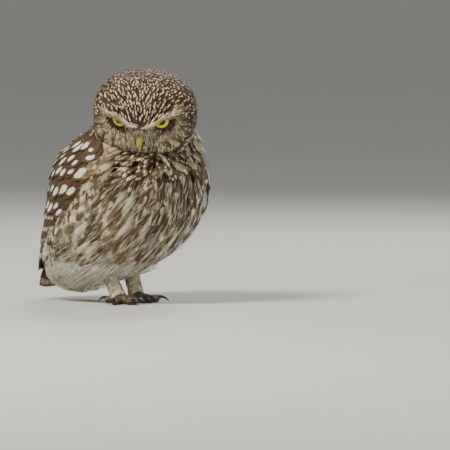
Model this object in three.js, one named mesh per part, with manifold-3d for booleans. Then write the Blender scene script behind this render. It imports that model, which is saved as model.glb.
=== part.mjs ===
// A little owl, standing with its head turned and lowered, life size, in millimetres.
// The bird faces -Y, its left side is +X, and +Z is up. Its toes stand on the plane Z = 0.
import * as THREE from "three";
import { mergeVertices } from "three/addons/utils/BufferGeometryUtils.js";
import Module from "manifold-3d";

const wasm = await Module();
wasm.setup();

// Gap kept between neighbouring parts.
const GAP = 0.38;

// Trunk: level sections from the vent up to the neck, each with its height, the Y of the belly side,
// the Y of the back and half its width. The first and the last close to a point.
const TRUNK_SECTIONS = [
  { z: 9.5, front: 49, back: 49, half: 0 },
  { z: 12, front: 37, back: 64, half: 12 },
  { z: 19, front: 16, back: 74, half: 23 },
  { z: 30, front: -15, back: 79, half: 34 },
  { z: 45, front: -38, back: 77, half: 44 },
  { z: 62, front: -53, back: 72.5, half: 51.5 },
  { z: 80, front: -61.5, back: 68, half: 55.5 },
  { z: 98, front: -64, back: 63.5, half: 56.5 },
  { z: 114, front: -62.5, back: 57, half: 54.5 },
  { z: 128, front: -57, back: 46, half: 49.5 },
  { z: 139, front: -49, back: 33, half: 41 },
  { z: 147, front: -38, back: 16, half: 27 },
  { z: 151, front: -14, back: -14, half: 0 },
];
const SECTION_SQUARENESS = 2.45;
const CHIN_TURN = 230;
const CHIN_HOLLOW = 26;
const CHIN_HOLLOW_LOW = 98;
const CHIN_HOLLOW_HIGH = 136;
const CHIN_HOLLOW_SPREAD = 55;
const TRUNK_RINGS = 24;
const TRUNK_SIDES = 44;

// Folded wings: sections of their outer surface from the shoulder down to the tip, each with the turns, in
// degrees from the middle of the back, of the wing's two edges.
const WING_SECTIONS = [
  { z: 136, front: -51, back: 37, half: 44, inner: 62, outer: 88 },
  { z: 122, front: -60, back: 52, half: 52.5, inner: 36, outer: 95 },
  { z: 108, front: -63.5, back: 60.5, half: 56, inner: 19, outer: 91 },
  { z: 94, front: -63.3, back: 64.5, half: 56.7, inner: 8.5, outer: 87 },
  { z: 80, front: -61.3, back: 68.3, half: 55.5, inner: 3.5, outer: 79.5 },
  { z: 66, front: -55, back: 73, half: 52.3, inner: 1, outer: 69 },
  { z: 52, front: -45, back: 78.5, half: 47, inner: 0.8, outer: 58 },
  { z: 38, front: -30, back: 85, half: 38.5, inner: 1, outer: 48 },
  { z: 24, front: -6, back: 89.5, half: 29.5, inner: 1.5, outer: 34 },
];
const WING_DEPTH = 4.5;
const CORE_SINK = 2;

// Tiers of wing feathers: where their roots and tips lie on the way from the shoulder to the wing's tip, the
// first and the last feather's place from the back to the flank, how many there are and how wide each is.
const WING_TIERS = [
  { root: 0.02, tip: 0.24, from: 0.12, to: 0.9, count: 4, width: 15 },
  { root: 0.14, tip: 0.41, from: 0.12, to: 0.88, count: 4, width: 17 },
  { root: 0.28, tip: 0.58, from: 0.12, to: 0.88, count: 4, width: 16 },
  { root: 0.43, tip: 0.8, from: 0.12, to: 0.9, count: 5, width: 11.5 },
  { root: 0.62, tip: 1, from: 0.16, to: 0.86, count: 4, width: 9 },
];

// Vanes: how deep a feather's root lies under the outside of the plumage and how deep its tip does, how much
// higher its outer edge is than its inner edge, how much it arches, and its thickness at the root and the tip.
const ROOT_SINK = 2.7;
const TIP_SINK = 0.45;
const SHINGLE = 0.3;
const ARCH = 0.25;
const ROOT_THICKNESS = 1;
const TIP_THICKNESS = 0.6;
const VANE_STATIONS = 4;
const VANE_STRIPS = 2;
const BED_EDGE = 7;
const BED_TOP = 138;
const BED_FULL = 128;

// Head: half sizes from its centre, and its pose.
const HEAD_CENTRE = new THREE.Vector3(-17.3, -32.3, 152.8);
const HEAD_YAW = -57;
const HEAD_PITCH = 23;
const HEAD_ROLL = -2.4;
const HEAD_HALF_WIDTH = 41.5;
const CROWN_HEIGHT = 33.5;
const CHIN_DEPTH = 31;
const FACE_DEPTH = 34;
const NAPE_DEPTH = 37;
const HEAD_SQUARENESS = 2.35;
const HEAD_RINGS = 26;
const HEAD_SIDES = 32;

// Eyes, in the head's own axes: x to the bird's left, y up, z forward.
const EYE_RADIUS = 8.4;
const EYE_CENTRE = new THREE.Vector3(15.4, 6.4, 22.4);
const LID_RADIUS = 6.3;
const LID_THICKNESS = 0.9;
const GAZE_OUT = 10;
const GAZE_UP = 8;

// Face: the brow over the eye, the bowl that the eye sits in, the bridge of the bill and the disc's rim.
const BROW_STAND = 6.2;
const BROW_INNER = new THREE.Vector2(3, 1.2);
const BROW_OUTER = new THREE.Vector2(34, 21.7);
const BROW_DROOP = 3.5;
const BROW_SPREAD = 3.2;
const BOWL_DEPTH = 6.5;
const BOWL_SPREAD = 10.5;
const BRIDGE_STAND = 2.2;
const DISC_CENTRE_Y = -5;
const DISC_HALF = new THREE.Vector2(36, 26);
const DISC_RIM_STAND = 1.4;
const DISC_RIM_SPREAD = 0.09;

// Bill, from the cere down to the tip, in the head's axes.
const BILL_DROP = 18.5;
const BILL_HALF_WIDTH = 4.3;
const BILL_HALF_DEPTH = 4.2;
const NOSTRIL = new THREE.Vector3(3.1, -1.6, 33.4);
const NOSTRIL_RADIUS = 0.8;

// Legs: how far apart the ankles stand, and how far back and out each leg rises into the belly.
const STANCE = 24;
const LEG_BACK = 27;
const LEG_OUT = 5;
const LEG_TOP = 46;
const LEG_RADIUS = 5.6;
const ANKLE_HEIGHT = 7;

// Toes: turn outwards from straight ahead in degrees, length without the claw, and radius.
const TOES = [
  { name: "inner", turn: -24, length: 17, radius: 3.1 },
  { name: "middle", turn: 4, length: 20.5, radius: 3.3 },
  { name: "outer", turn: 52, length: 18, radius: 3.1 },
  { name: "hind", turn: 160, length: 15, radius: 3 },
];
const CLAW_LENGTH = 11.5;
const CLAW_RADIUS = 1.5;
const CLAW_RISE = 24;
const CLAW_BEND = 88;

// The two sides of the bird: the sign of X, the turn of the foot outwards and how far ahead it stands.
const SIDES = [
  { name: "left", sign: 1, footTurn: -18, ahead: -1.5 },
  { name: "right", sign: -1, footTurn: 16, ahead: 1.5 },
];

// Tail: where its feathers grow from and where the middle pair ends.
const TAIL_ROOT = new THREE.Vector3(0, 60, 78);
const TAIL_TIP = new THREE.Vector3(0, 86, 9);
const TAIL_ROOT_HALF = 9;
const TAIL_TIP_HALF = 18;
const TAIL_THICKNESS = 2.4;
const TAIL_FEATHERS = 8;
const TAIL_FEATHER_WIDTH = 10;
const TAIL_CORE_END = 0.84;

const rad = THREE.MathUtils.degToRad;
const clamp = THREE.MathUtils.clamp;
const mix = THREE.MathUtils.lerp;
const smooth = (a, b, x) => {
  const t = clamp((x - a) / (b - a), 0, 1);
  return t * t * (3 - 2 * t);
};
const bump = (x, width) => Math.exp(-((x / width) ** 2));
const power = (v, n) => Math.sign(v) * Math.abs(v) ** (2 / n);

// The value of every column of a table of sections at t from 0 to 1, as a smooth curve through the rows.
function sectionAt(rows, t) {
  const span = clamp(t, 0, 1) * (rows.length - 1);
  const i = Math.min(Math.floor(span), rows.length - 2);
  const f = span - i;
  const at = (k) => rows[clamp(k, 0, rows.length - 1)];
  const out = {};
  for (const key of Object.keys(rows[0])) {
    const [a, b, c, d] = [at(i - 1), at(i), at(i + 1), at(i + 2)].map((r) => r[key]);
    out[key] =
      b + 0.5 * f * (c - a + f * (2 * a - 5 * b + 4 * c - d + f * (3 * (b - c) + d - a)));
  }
  return out;
}

// A point on a level section, at an angle from the middle of the back round to the middle of the breast.
function onSection(section, angle) {
  const middle = (section.front + section.back) / 2;
  const reach = (section.back - section.front) / 2;
  return new THREE.Vector3(
    section.half * power(Math.sin(angle), SECTION_SQUARENESS),
    middle + reach * power(Math.cos(angle), SECTION_SQUARENESS),
    section.z,
  );
}

// The outward unit normal of a surface given as a function of two parameters.
function normalOf(surface, u, v) {
  const h = 1e-3;
  const along = surface(u + h, v).sub(surface(u - h, v));
  const across = surface(u, v + h).sub(surface(u, v - h));
  return along.cross(across).normalize();
}

// The wing's section at height z.
function wingSectionAt(z) {
  const [high, low] = [WING_SECTIONS[0].z, WING_SECTIONS.at(-1).z];
  return sectionAt(WING_SECTIONS, clamp((high - z) / (high - low), 0, 1));
}

// The turn in degrees at a share, from 0 to 1, of the way from the back to the breast, with places of its own
// for the two edges of the wing's bed.
function turnAt(z, share) {
  const { inner, outer } = wingSectionAt(z);
  const stops = [
    [0, 0],
    [0.09, Math.max(inner - BED_EDGE, inner * 0.3)],
    [0.18, inner + 1],
    [0.5, outer],
    [0.5455, outer + BED_EDGE],
    [1, 180],
  ];
  const k = stops.findIndex(([at], i) => i > 0 && share <= at);
  const [[from, low], [to, high]] = [stops[k - 1], stops[k]];
  return mix(low, high, (share - from) / (to - from));
}

// How deep the wing's bed is cut into the trunk, at height z and a turn in degrees from the back.
function bedDepth(z, turn) {
  const section = wingSectionAt(z);
  const width = smooth(section.inner - BED_EDGE, section.inner, turn) *
    (1 - smooth(section.outer, section.outer + BED_EDGE, turn));
  return WING_DEPTH * width * (1 - smooth(BED_FULL, BED_TOP, z));
}

// How far the breast draws back under the lowered chin, at height z and a turn in degrees from the back.
function chinHollow(z, turn) {
  const off = THREE.MathUtils.euclideanModulo(turn - CHIN_TURN + 180, 360) - 180;
  return CHIN_HOLLOW * smooth(CHIN_HOLLOW_LOW, CHIN_HOLLOW_HIGH, z) * bump(off, CHIN_HOLLOW_SPREAD);
}

function trunkSkin(t, angle) {
  const p = onSection(sectionAt(TRUNK_SECTIONS, t), angle);
  const draw = chinHollow(p.z, THREE.MathUtils.radToDeg(angle));
  p.x -= draw * Math.sin(angle);
  p.y -= draw * Math.cos(angle);
  return p;
}

function trunkPoint(t, angle, grow) {
  if (t <= 0 || t >= 1) return trunkSkin(t, 0).add(new THREE.Vector3(0, 0, t <= 0 ? -grow : grow));
  const p = trunkSkin(t, angle);
  const turn = Math.abs(THREE.MathUtils.euclideanModulo(THREE.MathUtils.radToDeg(angle) + 180, 360) - 180);
  const normal = normalOf(trunkSkin, clamp(t, 0.01, 0.99), angle + 1e-4);
  if (normal.dot(new THREE.Vector3(p.x, p.y - trunkSkin(t, 0).y / 2, 0)) < 0 && t > 0.2 && t < 0.8) normal.negate();
  return p.addScaledVector(normal, grow - bedDepth(p.z, turn));
}

// A closed surface from rings of points between two poles. point(i, j) gives ring i's j-th point.
function ringSurface(rings, sides, point) {
  const vertices = [point(0, 0)];
  for (let i = 1; i < rings; i++) {
    for (let j = 0; j < sides; j++) vertices.push(point(i, j));
  }
  vertices.push(point(rings, 0));
  const last = vertices.length - 1;
  const id = (i, j) => (i === 0 ? 0 : i === rings ? last : 1 + (i - 1) * sides + (j % sides));
  const index = [];
  for (let i = 0; i < rings; i++) {
    for (let j = 0; j < sides; j++) {
      const [a, b, c, d] = [id(i, j), id(i, j + 1), id(i + 1, j + 1), id(i + 1, j)];
      if (i > 0) index.push(a, b, c);
      if (i < rings - 1) index.push(a, c, d);
    }
  }
  return solid(vertices, index);
}

// A closed slab between an upper and a lower sheet of the same grid of points.
function slab(stations, strips, upper, lower) {
  const vertices = [];
  const put = (sheet) => {
    const start = vertices.length;
    for (let i = 0; i <= stations; i++) {
      for (let j = 0; j <= strips; j++) vertices.push(sheet(i / stations, j / strips, i, j));
    }
    return (i, j) => start + i * (strips + 1) + j;
  };
  const top = put(upper);
  const under = put(lower);
  const index = [];
  const quad = (a, b, c, d) => index.push(a, b, c, a, c, d);
  for (let i = 0; i < stations; i++) {
    for (let j = 0; j < strips; j++) {
      quad(top(i, j), top(i + 1, j), top(i + 1, j + 1), top(i, j + 1));
      const [a, b, c, d] = [under(i, j), under(i + 1, j), under(i + 1, j + 1), under(i, j + 1)];
      index.push(a, c, b, a, d, c);
    }
    quad(top(i + 1, 0), top(i, 0), under(i, 0), under(i + 1, 0));
    quad(top(i, strips), top(i + 1, strips), under(i + 1, strips), under(i, strips));
  }
  for (let j = 0; j < strips; j++) {
    quad(top(0, j), top(0, j + 1), under(0, j + 1), under(0, j));
    quad(top(stations, j + 1), top(stations, j), under(stations, j), under(stations, j + 1));
  }
  return solid(vertices, index);
}

// A solid from points and triangles, turned right side out.
function solid(vertices, index) {
  const make = (triangles) =>
    new wasm.Manifold(
      new wasm.Mesh({
        numProp: 3,
        vertProperties: new Float32Array(vertices.flatMap((v) => [v.x, v.y, v.z])),
        triVerts: new Uint32Array(triangles),
      }),
    );
  const made = make(index);
  if (made.volume() > 0) return made;
  const turned = [];
  for (let i = 0; i < index.length; i += 3) turned.push(index[i], index[i + 2], index[i + 1]);
  return make(turned);
}

// A solid from a three.js geometry.
function solidOf(geometry) {
  const bare = geometry.clone();
  bare.deleteAttribute("normal");
  bare.deleteAttribute("uv");
  const merged = mergeVertices(bare, 1e-3);
  return new wasm.Manifold(
    new wasm.Mesh({
      numProp: 3,
      vertProperties: merged.attributes.position.array,
      triVerts: new Uint32Array(merged.index.array),
    }),
  );
}

// The largest closed surface of a solid.
function largest(made) {
  const bodies = made.decompose();
  return bodies.reduce((a, b) => (b.volume() > a.volume() ? b : a));
}

// A named mesh from a solid.
function node(name, made, look) {
  const mesh = largest(made).getMesh();
  const positions = new Float32Array(mesh.numVert * 3);
  for (let i = 0; i < mesh.numVert; i++) {
    positions.set(mesh.vertProperties.subarray(i * mesh.numProp, i * mesh.numProp + 3), i * 3);
  }
  const geometry = new THREE.BufferGeometry()
    .setAttribute("position", new THREE.BufferAttribute(positions, 3))
    .setIndex(new THREE.BufferAttribute(mesh.triVerts, 1));
  geometry.computeVertexNormals();
  const material = new THREE.MeshStandardMaterial({ color: look.color, roughness: look.roughness });
  const part = new THREE.Mesh(geometry, material);
  part.name = name;
  return part;
}

const LOOKS = {
  breast: { color: "#9a8a74", roughness: 0.95 },
  crown: { color: "#5a4330", roughness: 0.9 },
  wing: { color: "#4a3423", roughness: 0.8 },
  leg: { color: "#cfc3a8", roughness: 0.95 },
  foot: { color: "#8d7350", roughness: 0.9 },
  claw: { color: "#2b2a2d", roughness: 0.35 },
  bill: { color: "#b3a13a", roughness: 0.4 },
  eye: { color: "#d9c514", roughness: 0.05 },
};

function trunk(grow) {
  return ringSurface(TRUNK_RINGS, TRUNK_SIDES, (i, j) => {
    const t = (1 - Math.cos((Math.PI * i) / TRUNK_RINGS)) / 2;
    const share = Math.min(j, TRUNK_SIDES - j) / (TRUNK_SIDES / 2);
    const turn = turnAt(sectionAt(TRUNK_SECTIONS, t).z, share);
    return trunkPoint(t, rad(j <= TRUNK_SIDES / 2 ? turn : 360 - turn), grow);
  });
}

// A point of the folded wing: u runs from the shoulder to the tip, v from the back to the flank.
function wingPoint(side, u, v, sink) {
  const skin = (p, q) => {
    const section = sectionAt(WING_SECTIONS, p);
    return onSection(section, rad(mix(section.inner, section.outer, q)));
  };
  const normal = normalOf(skin, clamp(u, 0.01, 0.99), clamp(v, 0.01, 0.99));
  if (normal.x < 0) normal.negate();
  const p = skin(u, v).addScaledVector(normal, -sink);
  p.x *= side;
  return p;
}

// One feather as a thin vane. place(s, q, sink) gives the point at share s of its length, q from -1 to 1
// across it and sink under the outside of the plumage.
function vane(place) {
  const outline = (s) => (0.7 + 0.3 * smooth(0, 0.4, s)) * Math.sqrt(1 - 0.93 * clamp((s - 0.66) / 0.34, 0, 1) ** 3);
  const sheet = (depth) => (u, v) => {
    const s = 1 - (1 - u) ** 1.5;
    const q = 2 * v - 1;
    const sink = mix(ROOT_SINK, TIP_SINK, smooth(0, 1, s)) - SHINGLE * q - ARCH * (1 - q * q);
    return place(s, q * outline(s), sink + depth * mix(ROOT_THICKNESS, TIP_THICKNESS, s));
  };
  return slab(VANE_STATIONS, VANE_STRIPS, sheet(0), sheet(1));
}

// How wide the folded wing is at u, in millimetres, from the back edge to the flank edge.
function wingWidth(u) {
  let width = 0;
  for (let k = 0; k < 8; k++) width += wingPoint(1, u, k / 8, 0).distanceTo(wingPoint(1, u, (k + 1) / 8, 0));
  return width;
}

function wingFeathers(side) {
  const made = [];
  for (const tier of WING_TIERS) {
    for (let k = 0; k < tier.count; k++) {
      const middle = mix(tier.from, tier.to, k / (tier.count - 1));
      made.push(
        vane((s, q, sink) => {
          const u = mix(tier.root, tier.tip - 0.03 * (k % 2), s);
          return wingPoint(side, u, middle + (q * tier.width) / 2 / wingWidth(u), sink);
        }),
      );
    }
  }
  return made;
}

function wing(side) {
  const core = slab(
    10,
    6,
    (u, v) => wingPoint(side, u * 0.97, v, CORE_SINK + 0.8 * (1 - Math.sin(Math.PI * v))),
    (u, v) => wingPoint(side, u * 0.97, v, WING_DEPTH - 1.2 * smooth(0.5, 1, u)),
  );
  return wasm.Manifold.union([core, ...wingFeathers(side)]);
}

// Head: a point of its surface in its own axes, from the angle to the bill's line and the turn about it.
function headSkin(tilt, turn) {
  const way = new THREE.Vector3(
    Math.sin(tilt) * Math.sin(turn),
    Math.sin(tilt) * Math.cos(turn),
    Math.cos(tilt),
  );
  const n = HEAD_SQUARENESS;
  const tall = way.y > 0 ? CROWN_HEIGHT : CHIN_DEPTH;
  const deep = way.z > 0 ? FACE_DEPTH : NAPE_DEPTH;
  const r =
    (Math.abs(way.x / HEAD_HALF_WIDTH) ** n + Math.abs(way.y / tall) ** n + Math.abs(way.z / deep) ** n) **
    (-1 / n);
  const p = way.multiplyScalar(r);
  const face = smooth(4, 20, p.z);
  const x = Math.abs(p.x);
  const browLine =
    mix(BROW_INNER.y, BROW_OUTER.y, (x - BROW_INNER.x) / (BROW_OUTER.x - BROW_INNER.x)) -
    BROW_DROOP * smooth(16, BROW_OUTER.x, x);
  const toEye = Math.hypot(x - EYE_CENTRE.x, p.y - EYE_CENTRE.y);
  const brow = BROW_STAND * bump(p.y - browLine, BROW_SPREAD) * smooth(38, 26, x) * smooth(-4, 9, x);
  const bowl = -BOWL_DEPTH * bump(toEye, BOWL_SPREAD) * smooth(3, -2, p.y - browLine);
  const bridge = BRIDGE_STAND * bump(x, 4.5) * bump(p.y + 5, 9);
  const toRim = Math.hypot(x / DISC_HALF.x, (p.y - DISC_CENTRE_Y) / DISC_HALF.y) - 1;
  const rim = DISC_RIM_STAND * bump(toRim, DISC_RIM_SPREAD);
  p.z += face * (brow + bowl + bridge + rim);
  return p;
}

function headPoint(tilt, turn, grow) {
  const p = headSkin(tilt, turn);
  if (grow === 0) return p;
  const normal = normalOf(headSkin, clamp(tilt, 0.02, Math.PI - 0.02), turn);
  if (normal.dot(p) < 0) normal.negate();
  return p.addScaledVector(normal, grow);
}

function head(grow) {
  return ringSurface(HEAD_RINGS, HEAD_SIDES, (i, j) =>
    headPoint(Math.PI * (i / HEAD_RINGS) ** 1.2, (2 * Math.PI * j) / HEAD_SIDES, grow));
}

// The share of full width near the two ends of a round-ended body.
function blunt(t, start, end) {
  const round = (x) => Math.sqrt(1 - (1 - Math.min(x, 1)) ** 2);
  return round(t / start) * round((1 - t) / end);
}

// A body along a curve, with an oval section of given half sizes, one of them along the vector across.
function horn(steps, sides, path, wide, tall, across) {
  return ringSurface(steps, sides, (i, j) => {
    const t = (1 - Math.cos((Math.PI * i) / steps)) / 2;
    const p = path(t);
    if (i === 0 || i === steps) return p;
    const along = path(Math.min(t + 1e-3, 1)).sub(path(Math.max(t - 1e-3, 0))).normalize();
    const upward = new THREE.Vector3().crossVectors(across, along).normalize();
    const turn = (2 * Math.PI * j) / sides;
    return p
      .addScaledVector(across, wide(t) * Math.cos(turn))
      .addScaledVector(upward, tall(t) * Math.sin(turn));
  });
}

function billUpper(grow) {
  const path = (t) =>
    new THREE.Vector3(0, 2 - (BILL_DROP + grow) * t ** 1.3, 25 + 12.5 * Math.sin(Math.PI * 0.64 * t));
  const taper = (t) => 1 - 0.93 * t ** 2;
  return horn(
    9,
    12,
    path,
    (t) => BILL_HALF_WIDTH * taper(t) * blunt(t, 0.1, 0.04) + grow,
    (t) => BILL_HALF_DEPTH * taper(t) * blunt(t, 0.1, 0.04) + grow,
    new THREE.Vector3(1, 0, 0),
  );
}

function billLower(grow) {
  const path = (t) => new THREE.Vector3(0, -7 - 7.5 * t, 22 + 9.5 * Math.sin(Math.PI * 0.5 * t));
  const taper = (t) => 1 - 0.6 * t ** 2;
  return horn(
    7,
    10,
    path,
    (t) => 3.1 * taper(t) * blunt(t, 0.15, 0.2) + grow,
    (t) => 2.4 * taper(t) * blunt(t, 0.15, 0.2) + grow,
    new THREE.Vector3(1, 0, 0),
  );
}

// The leg from the ankle up into the belly, in the foot's axes.
function leg(side, grow) {
  const path = (t) =>
    new THREE.Vector3(side * LEG_OUT * t, LEG_BACK * t ** 0.9, mix(ANKLE_HEIGHT - 2, LEG_TOP, t));
  const wide = (t) => (LEG_RADIUS + 5 * smooth(0.35, 0.9, t) + 0.7 * smooth(0.2, 0, t)) * blunt(t, 0.06, 0.2) + grow;
  return horn(8, 12, path, wide, wide, new THREE.Vector3(1, 0, 0));
}

function toeWay(side, toe) {
  return new THREE.Vector3(side * Math.sin(rad(toe.turn)), -Math.cos(rad(toe.turn)), 0);
}

function toe(side, facts, grow) {
  const way = toeWay(side, facts);
  const across = new THREE.Vector3(way.y, -way.x, 0);
  const radius = (t) => facts.radius * (1.12 - 0.2 * t + 0.07 * Math.cos(t * Math.PI * 5)) * blunt(t, 0.25, 0.14);
  const path = (t) =>
    way.clone().multiplyScalar(facts.length * t).setZ(mix(4.4, facts.radius * 0.86, smooth(0, 0.7, t)));
  return horn(9, 10, path, (t) => radius(t) + grow, (t) => radius(t) + grow, across);
}

// The foot: a pad under the ankle and four toes, flat underneath where they stand.
function foot(side, grow) {
  const pad = horn(
    6,
    12,
    (t) => new THREE.Vector3(0, 0, mix(-1, ANKLE_HEIGHT + 1.5, t)),
    (t) => 5.6 * blunt(t, 0.5, 0.3) + grow,
    (t) => 6.2 * blunt(t, 0.5, 0.3) + grow,
    new THREE.Vector3(1, 0, 0),
  );
  const made = TOES.reduce((whole, facts) => whole.add(toe(side, facts, grow)), pad);
  return grow > 0 ? made : made.trimByPlane([0, 0, 1], 0);
}

function claw(side, facts, grow) {
  const way = toeWay(side, facts);
  const across = new THREE.Vector3(way.y, -way.x, 0);
  const start = way.clone().multiplyScalar(facts.length - 2.2).setZ(4);
  const sweep = rad(CLAW_BEND);
  const reach = CLAW_LENGTH / sweep;
  const path = (t) => {
    const slope = t * sweep - rad(CLAW_RISE);
    const ahead = reach * (Math.sin(slope) + Math.sin(rad(CLAW_RISE)));
    const drop = reach * (Math.cos(rad(CLAW_RISE)) - Math.cos(slope));
    return start.clone().addScaledVector(way, ahead).setZ(start.z - drop);
  };
  const size = (t) => CLAW_RADIUS * (1 - 0.88 * t ** 1.3) * blunt(t, 0.12, 0.03) + grow;
  return horn(9, 8, path, (t) => size(t) * 0.8, size, across);
}

// A point of the tail: u from the root to the tip, v from one edge to the other, and lift above its middle
// sheet. The fan bows down at its edges and is rounded at its end.
function tailPoint(u, v, lift, grow) {
  const along = TAIL_TIP.clone().sub(TAIL_ROOT);
  const out = new THREE.Vector3(0, -along.z, along.y).normalize();
  const edge = 2 * v - 1;
  const half = mix(TAIL_ROOT_HALF, TAIL_TIP_HALF, smooth(0, 1, u)) + grow;
  return TAIL_ROOT.clone()
    .addScaledVector(along, u * (1 - 0.07 * edge ** 2) * (1 + grow / 60))
    .addScaledVector(out, lift - 2.4 * edge ** 2)
    .setX(half * edge);
}

function tailFan(grow, end) {
  return slab(
    6,
    6,
    (u, v) => tailPoint(u * end, v, TAIL_THICKNESS / 2 + grow, grow),
    (u, v) => tailPoint(u * end, v, -TAIL_THICKNESS / 2 - grow, grow),
  );
}

// The tail's feathers over a core that ends short of their tips.
function tail() {
  const made = [tailFan(-0.6, TAIL_CORE_END)];
  for (let k = 0; k < TAIL_FEATHERS; k++) {
    const middle = mix(0.14, 0.86, k / (TAIL_FEATHERS - 1));
    made.push(
      vane((s, q, sink) => {
        const u = mix(0.08, 1, s);
        const half = mix(TAIL_ROOT_HALF, TAIL_TIP_HALF, smooth(0, 1, u));
        const spread = middle + (q * TAIL_FEATHER_WIDTH) / 4 / half;
        return tailPoint(u, spread, TAIL_THICKNESS / 2 - sink + (k % 2 ? 0.25 : 0), 0);
      }),
    );
  }
  return wasm.Manifold.union(made);
}

// Head's pose: axes to the bird's left, up and forward, turned, lowered and leaned.
function headPose() {
  const up = new THREE.Vector3(0, 0, 1);
  const ahead = new THREE.Vector3(Math.sin(rad(HEAD_YAW)), -Math.cos(rad(HEAD_YAW)), 0);
  const left = new THREE.Vector3().crossVectors(up, ahead);
  const face = ahead.applyAxisAngle(left, rad(HEAD_PITCH));
  left.applyAxisAngle(face, rad(HEAD_ROLL));
  const crown = new THREE.Vector3().crossVectors(face, left);
  return new THREE.Matrix4().makeBasis(left, crown, face).setPosition(HEAD_CENTRE);
}

const owl = new THREE.Group();
const headGroup = new THREE.Group();
const pose = headPose();
pose.decompose(headGroup.position, headGroup.quaternion, headGroup.scale);
owl.add(headGroup);

const trunkGrown = trunk(GAP);
const headGrown = head(GAP).transform(pose.toArray());
owl.add(node("torso", trunk(0).subtract(headGrown), LOOKS.breast));
owl.add(node("tail", tail().subtract(trunkGrown), LOOKS.wing));

for (const { name, sign: side, footTurn, ahead } of SIDES) {
  const folded = wing(side).subtract(trunkGrown).subtract(headGrown).subtract(tailFan(GAP + 0.2, 1));
  owl.add(node("wing_" + name, folded, LOOKS.wing));

  const footGroup = new THREE.Group();
  footGroup.position.set((side * STANCE) / 2, -ahead, 0);
  footGroup.rotation.z = rad(side * footTurn);
  footGroup.updateMatrix();
  owl.add(footGroup);
  const belly = trunkGrown.transform(footGroup.matrix.clone().invert().toArray());
  footGroup.add(node("leg_" + name, leg(side, 0).subtract(foot(side, GAP)).subtract(belly), LOOKS.leg));
  let sole = foot(side, 0);
  for (const facts of TOES) {
    sole = sole.subtract(claw(side, facts, GAP));
    footGroup.add(node("claw_" + facts.name + "_" + name, claw(side, facts, 0), LOOKS.claw));
  }
  footGroup.add(node("foot_" + name, sole, LOOKS.foot));
}

let skull = head(0).subtract(billUpper(GAP)).subtract(billLower(GAP));
for (const { name, sign: side } of SIDES) {
  const socket = new THREE.Matrix4()
    .makeRotationY(rad(side * GAZE_OUT))
    .multiply(new THREE.Matrix4().makeRotationX(-rad(GAZE_UP)))
    .setPosition(side * EYE_CENTRE.x, EYE_CENTRE.y, EYE_CENTRE.z);
  const rim = solidOf(
    new THREE.TorusGeometry(LID_RADIUS, LID_THICKNESS, 6, 20)
      .translate(0, 0, Math.sqrt(EYE_RADIUS ** 2 - LID_RADIUS ** 2))
      .applyMatrix4(socket),
  );
  const ball = (r) => solidOf(new THREE.SphereGeometry(r, 18, 10).rotateX(Math.PI / 2).applyMatrix4(socket));
  skull = skull.add(rim).subtract(ball(EYE_RADIUS + GAP));
  headGroup.add(node("eye_" + name, ball(EYE_RADIUS), LOOKS.eye));
}
headGroup.add(node("head", skull, LOOKS.crown));
const nostril = (side) =>
  solidOf(new THREE.SphereGeometry(NOSTRIL_RADIUS, 10, 8).translate(side * NOSTRIL.x, NOSTRIL.y, NOSTRIL.z));
headGroup.add(node("bill_upper", billUpper(0).subtract(nostril(1)).subtract(nostril(-1)), LOOKS.bill));
headGroup.add(node("bill_lower", billLower(0).subtract(billUpper(GAP)), LOOKS.bill));

// The origin is the middle of the box round the bird, at the level of its soles.
owl.updateMatrixWorld(true);
const box = new THREE.Box3().setFromObject(owl, true);
owl.position.set(-(box.min.x + box.max.x) / 2, -(box.min.y + box.max.y) / 2, -box.min.z);

export default owl;
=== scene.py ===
"""A little owl standing with its head turned and lowered, in metres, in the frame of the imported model."""
import math

import bpy
import numpy as np
from mathutils import Matrix, Vector


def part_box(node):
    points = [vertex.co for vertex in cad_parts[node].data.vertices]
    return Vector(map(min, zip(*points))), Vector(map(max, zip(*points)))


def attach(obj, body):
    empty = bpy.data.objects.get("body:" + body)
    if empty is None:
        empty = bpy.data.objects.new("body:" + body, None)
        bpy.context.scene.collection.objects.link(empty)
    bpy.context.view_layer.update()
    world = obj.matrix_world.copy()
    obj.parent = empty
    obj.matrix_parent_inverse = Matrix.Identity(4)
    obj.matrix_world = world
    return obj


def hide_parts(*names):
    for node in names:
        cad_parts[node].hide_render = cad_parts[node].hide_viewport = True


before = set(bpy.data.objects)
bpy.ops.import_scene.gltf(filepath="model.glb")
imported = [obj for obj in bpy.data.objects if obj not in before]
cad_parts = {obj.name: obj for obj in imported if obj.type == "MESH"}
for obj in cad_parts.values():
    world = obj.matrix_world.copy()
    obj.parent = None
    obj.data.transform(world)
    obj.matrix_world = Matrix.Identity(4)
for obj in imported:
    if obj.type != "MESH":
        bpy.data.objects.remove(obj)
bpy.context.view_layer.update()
rng = np.random.default_rng(174)

# ---- frame of reference
MM = 0.001
HEAD_CENTRE = np.array([-17.3, -32.3, 152.8])
HEAD_YAW, HEAD_PITCH, HEAD_ROLL = map(math.radians, (-57, 23, -2.4))
EYE_CENTRE = np.array([15.4, 6.4, 22.4])


def head_axes():
    """The head's axes as columns: to the bird's left, up its crown and out of its face."""
    ahead = Vector((math.sin(HEAD_YAW), -math.cos(HEAD_YAW), 0))
    left = Vector((0, 0, 1)).cross(ahead)
    face = Matrix.Rotation(HEAD_PITCH, 3, left) @ ahead
    left = Matrix.Rotation(HEAD_ROLL, 3, face) @ left
    return np.array([left, face.cross(left), face]).T


HEAD_AXES = head_axes()
low, high = (np.array(v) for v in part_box("eye_left"))
SHIFT = (low + high) / 2 / MM - (HEAD_CENTRE + HEAD_AXES @ EYE_CENTRE)
print("shift", SHIFT)


def smooth(a, b, x):
    t = np.clip((x - a) / (b - a), 0, 1)
    return t * t * (3 - 2 * t)


def mix(a, b, t):
    return a + (b - a) * t


def bump(x, width):
    return np.exp(-((x / width) ** 2))


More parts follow.
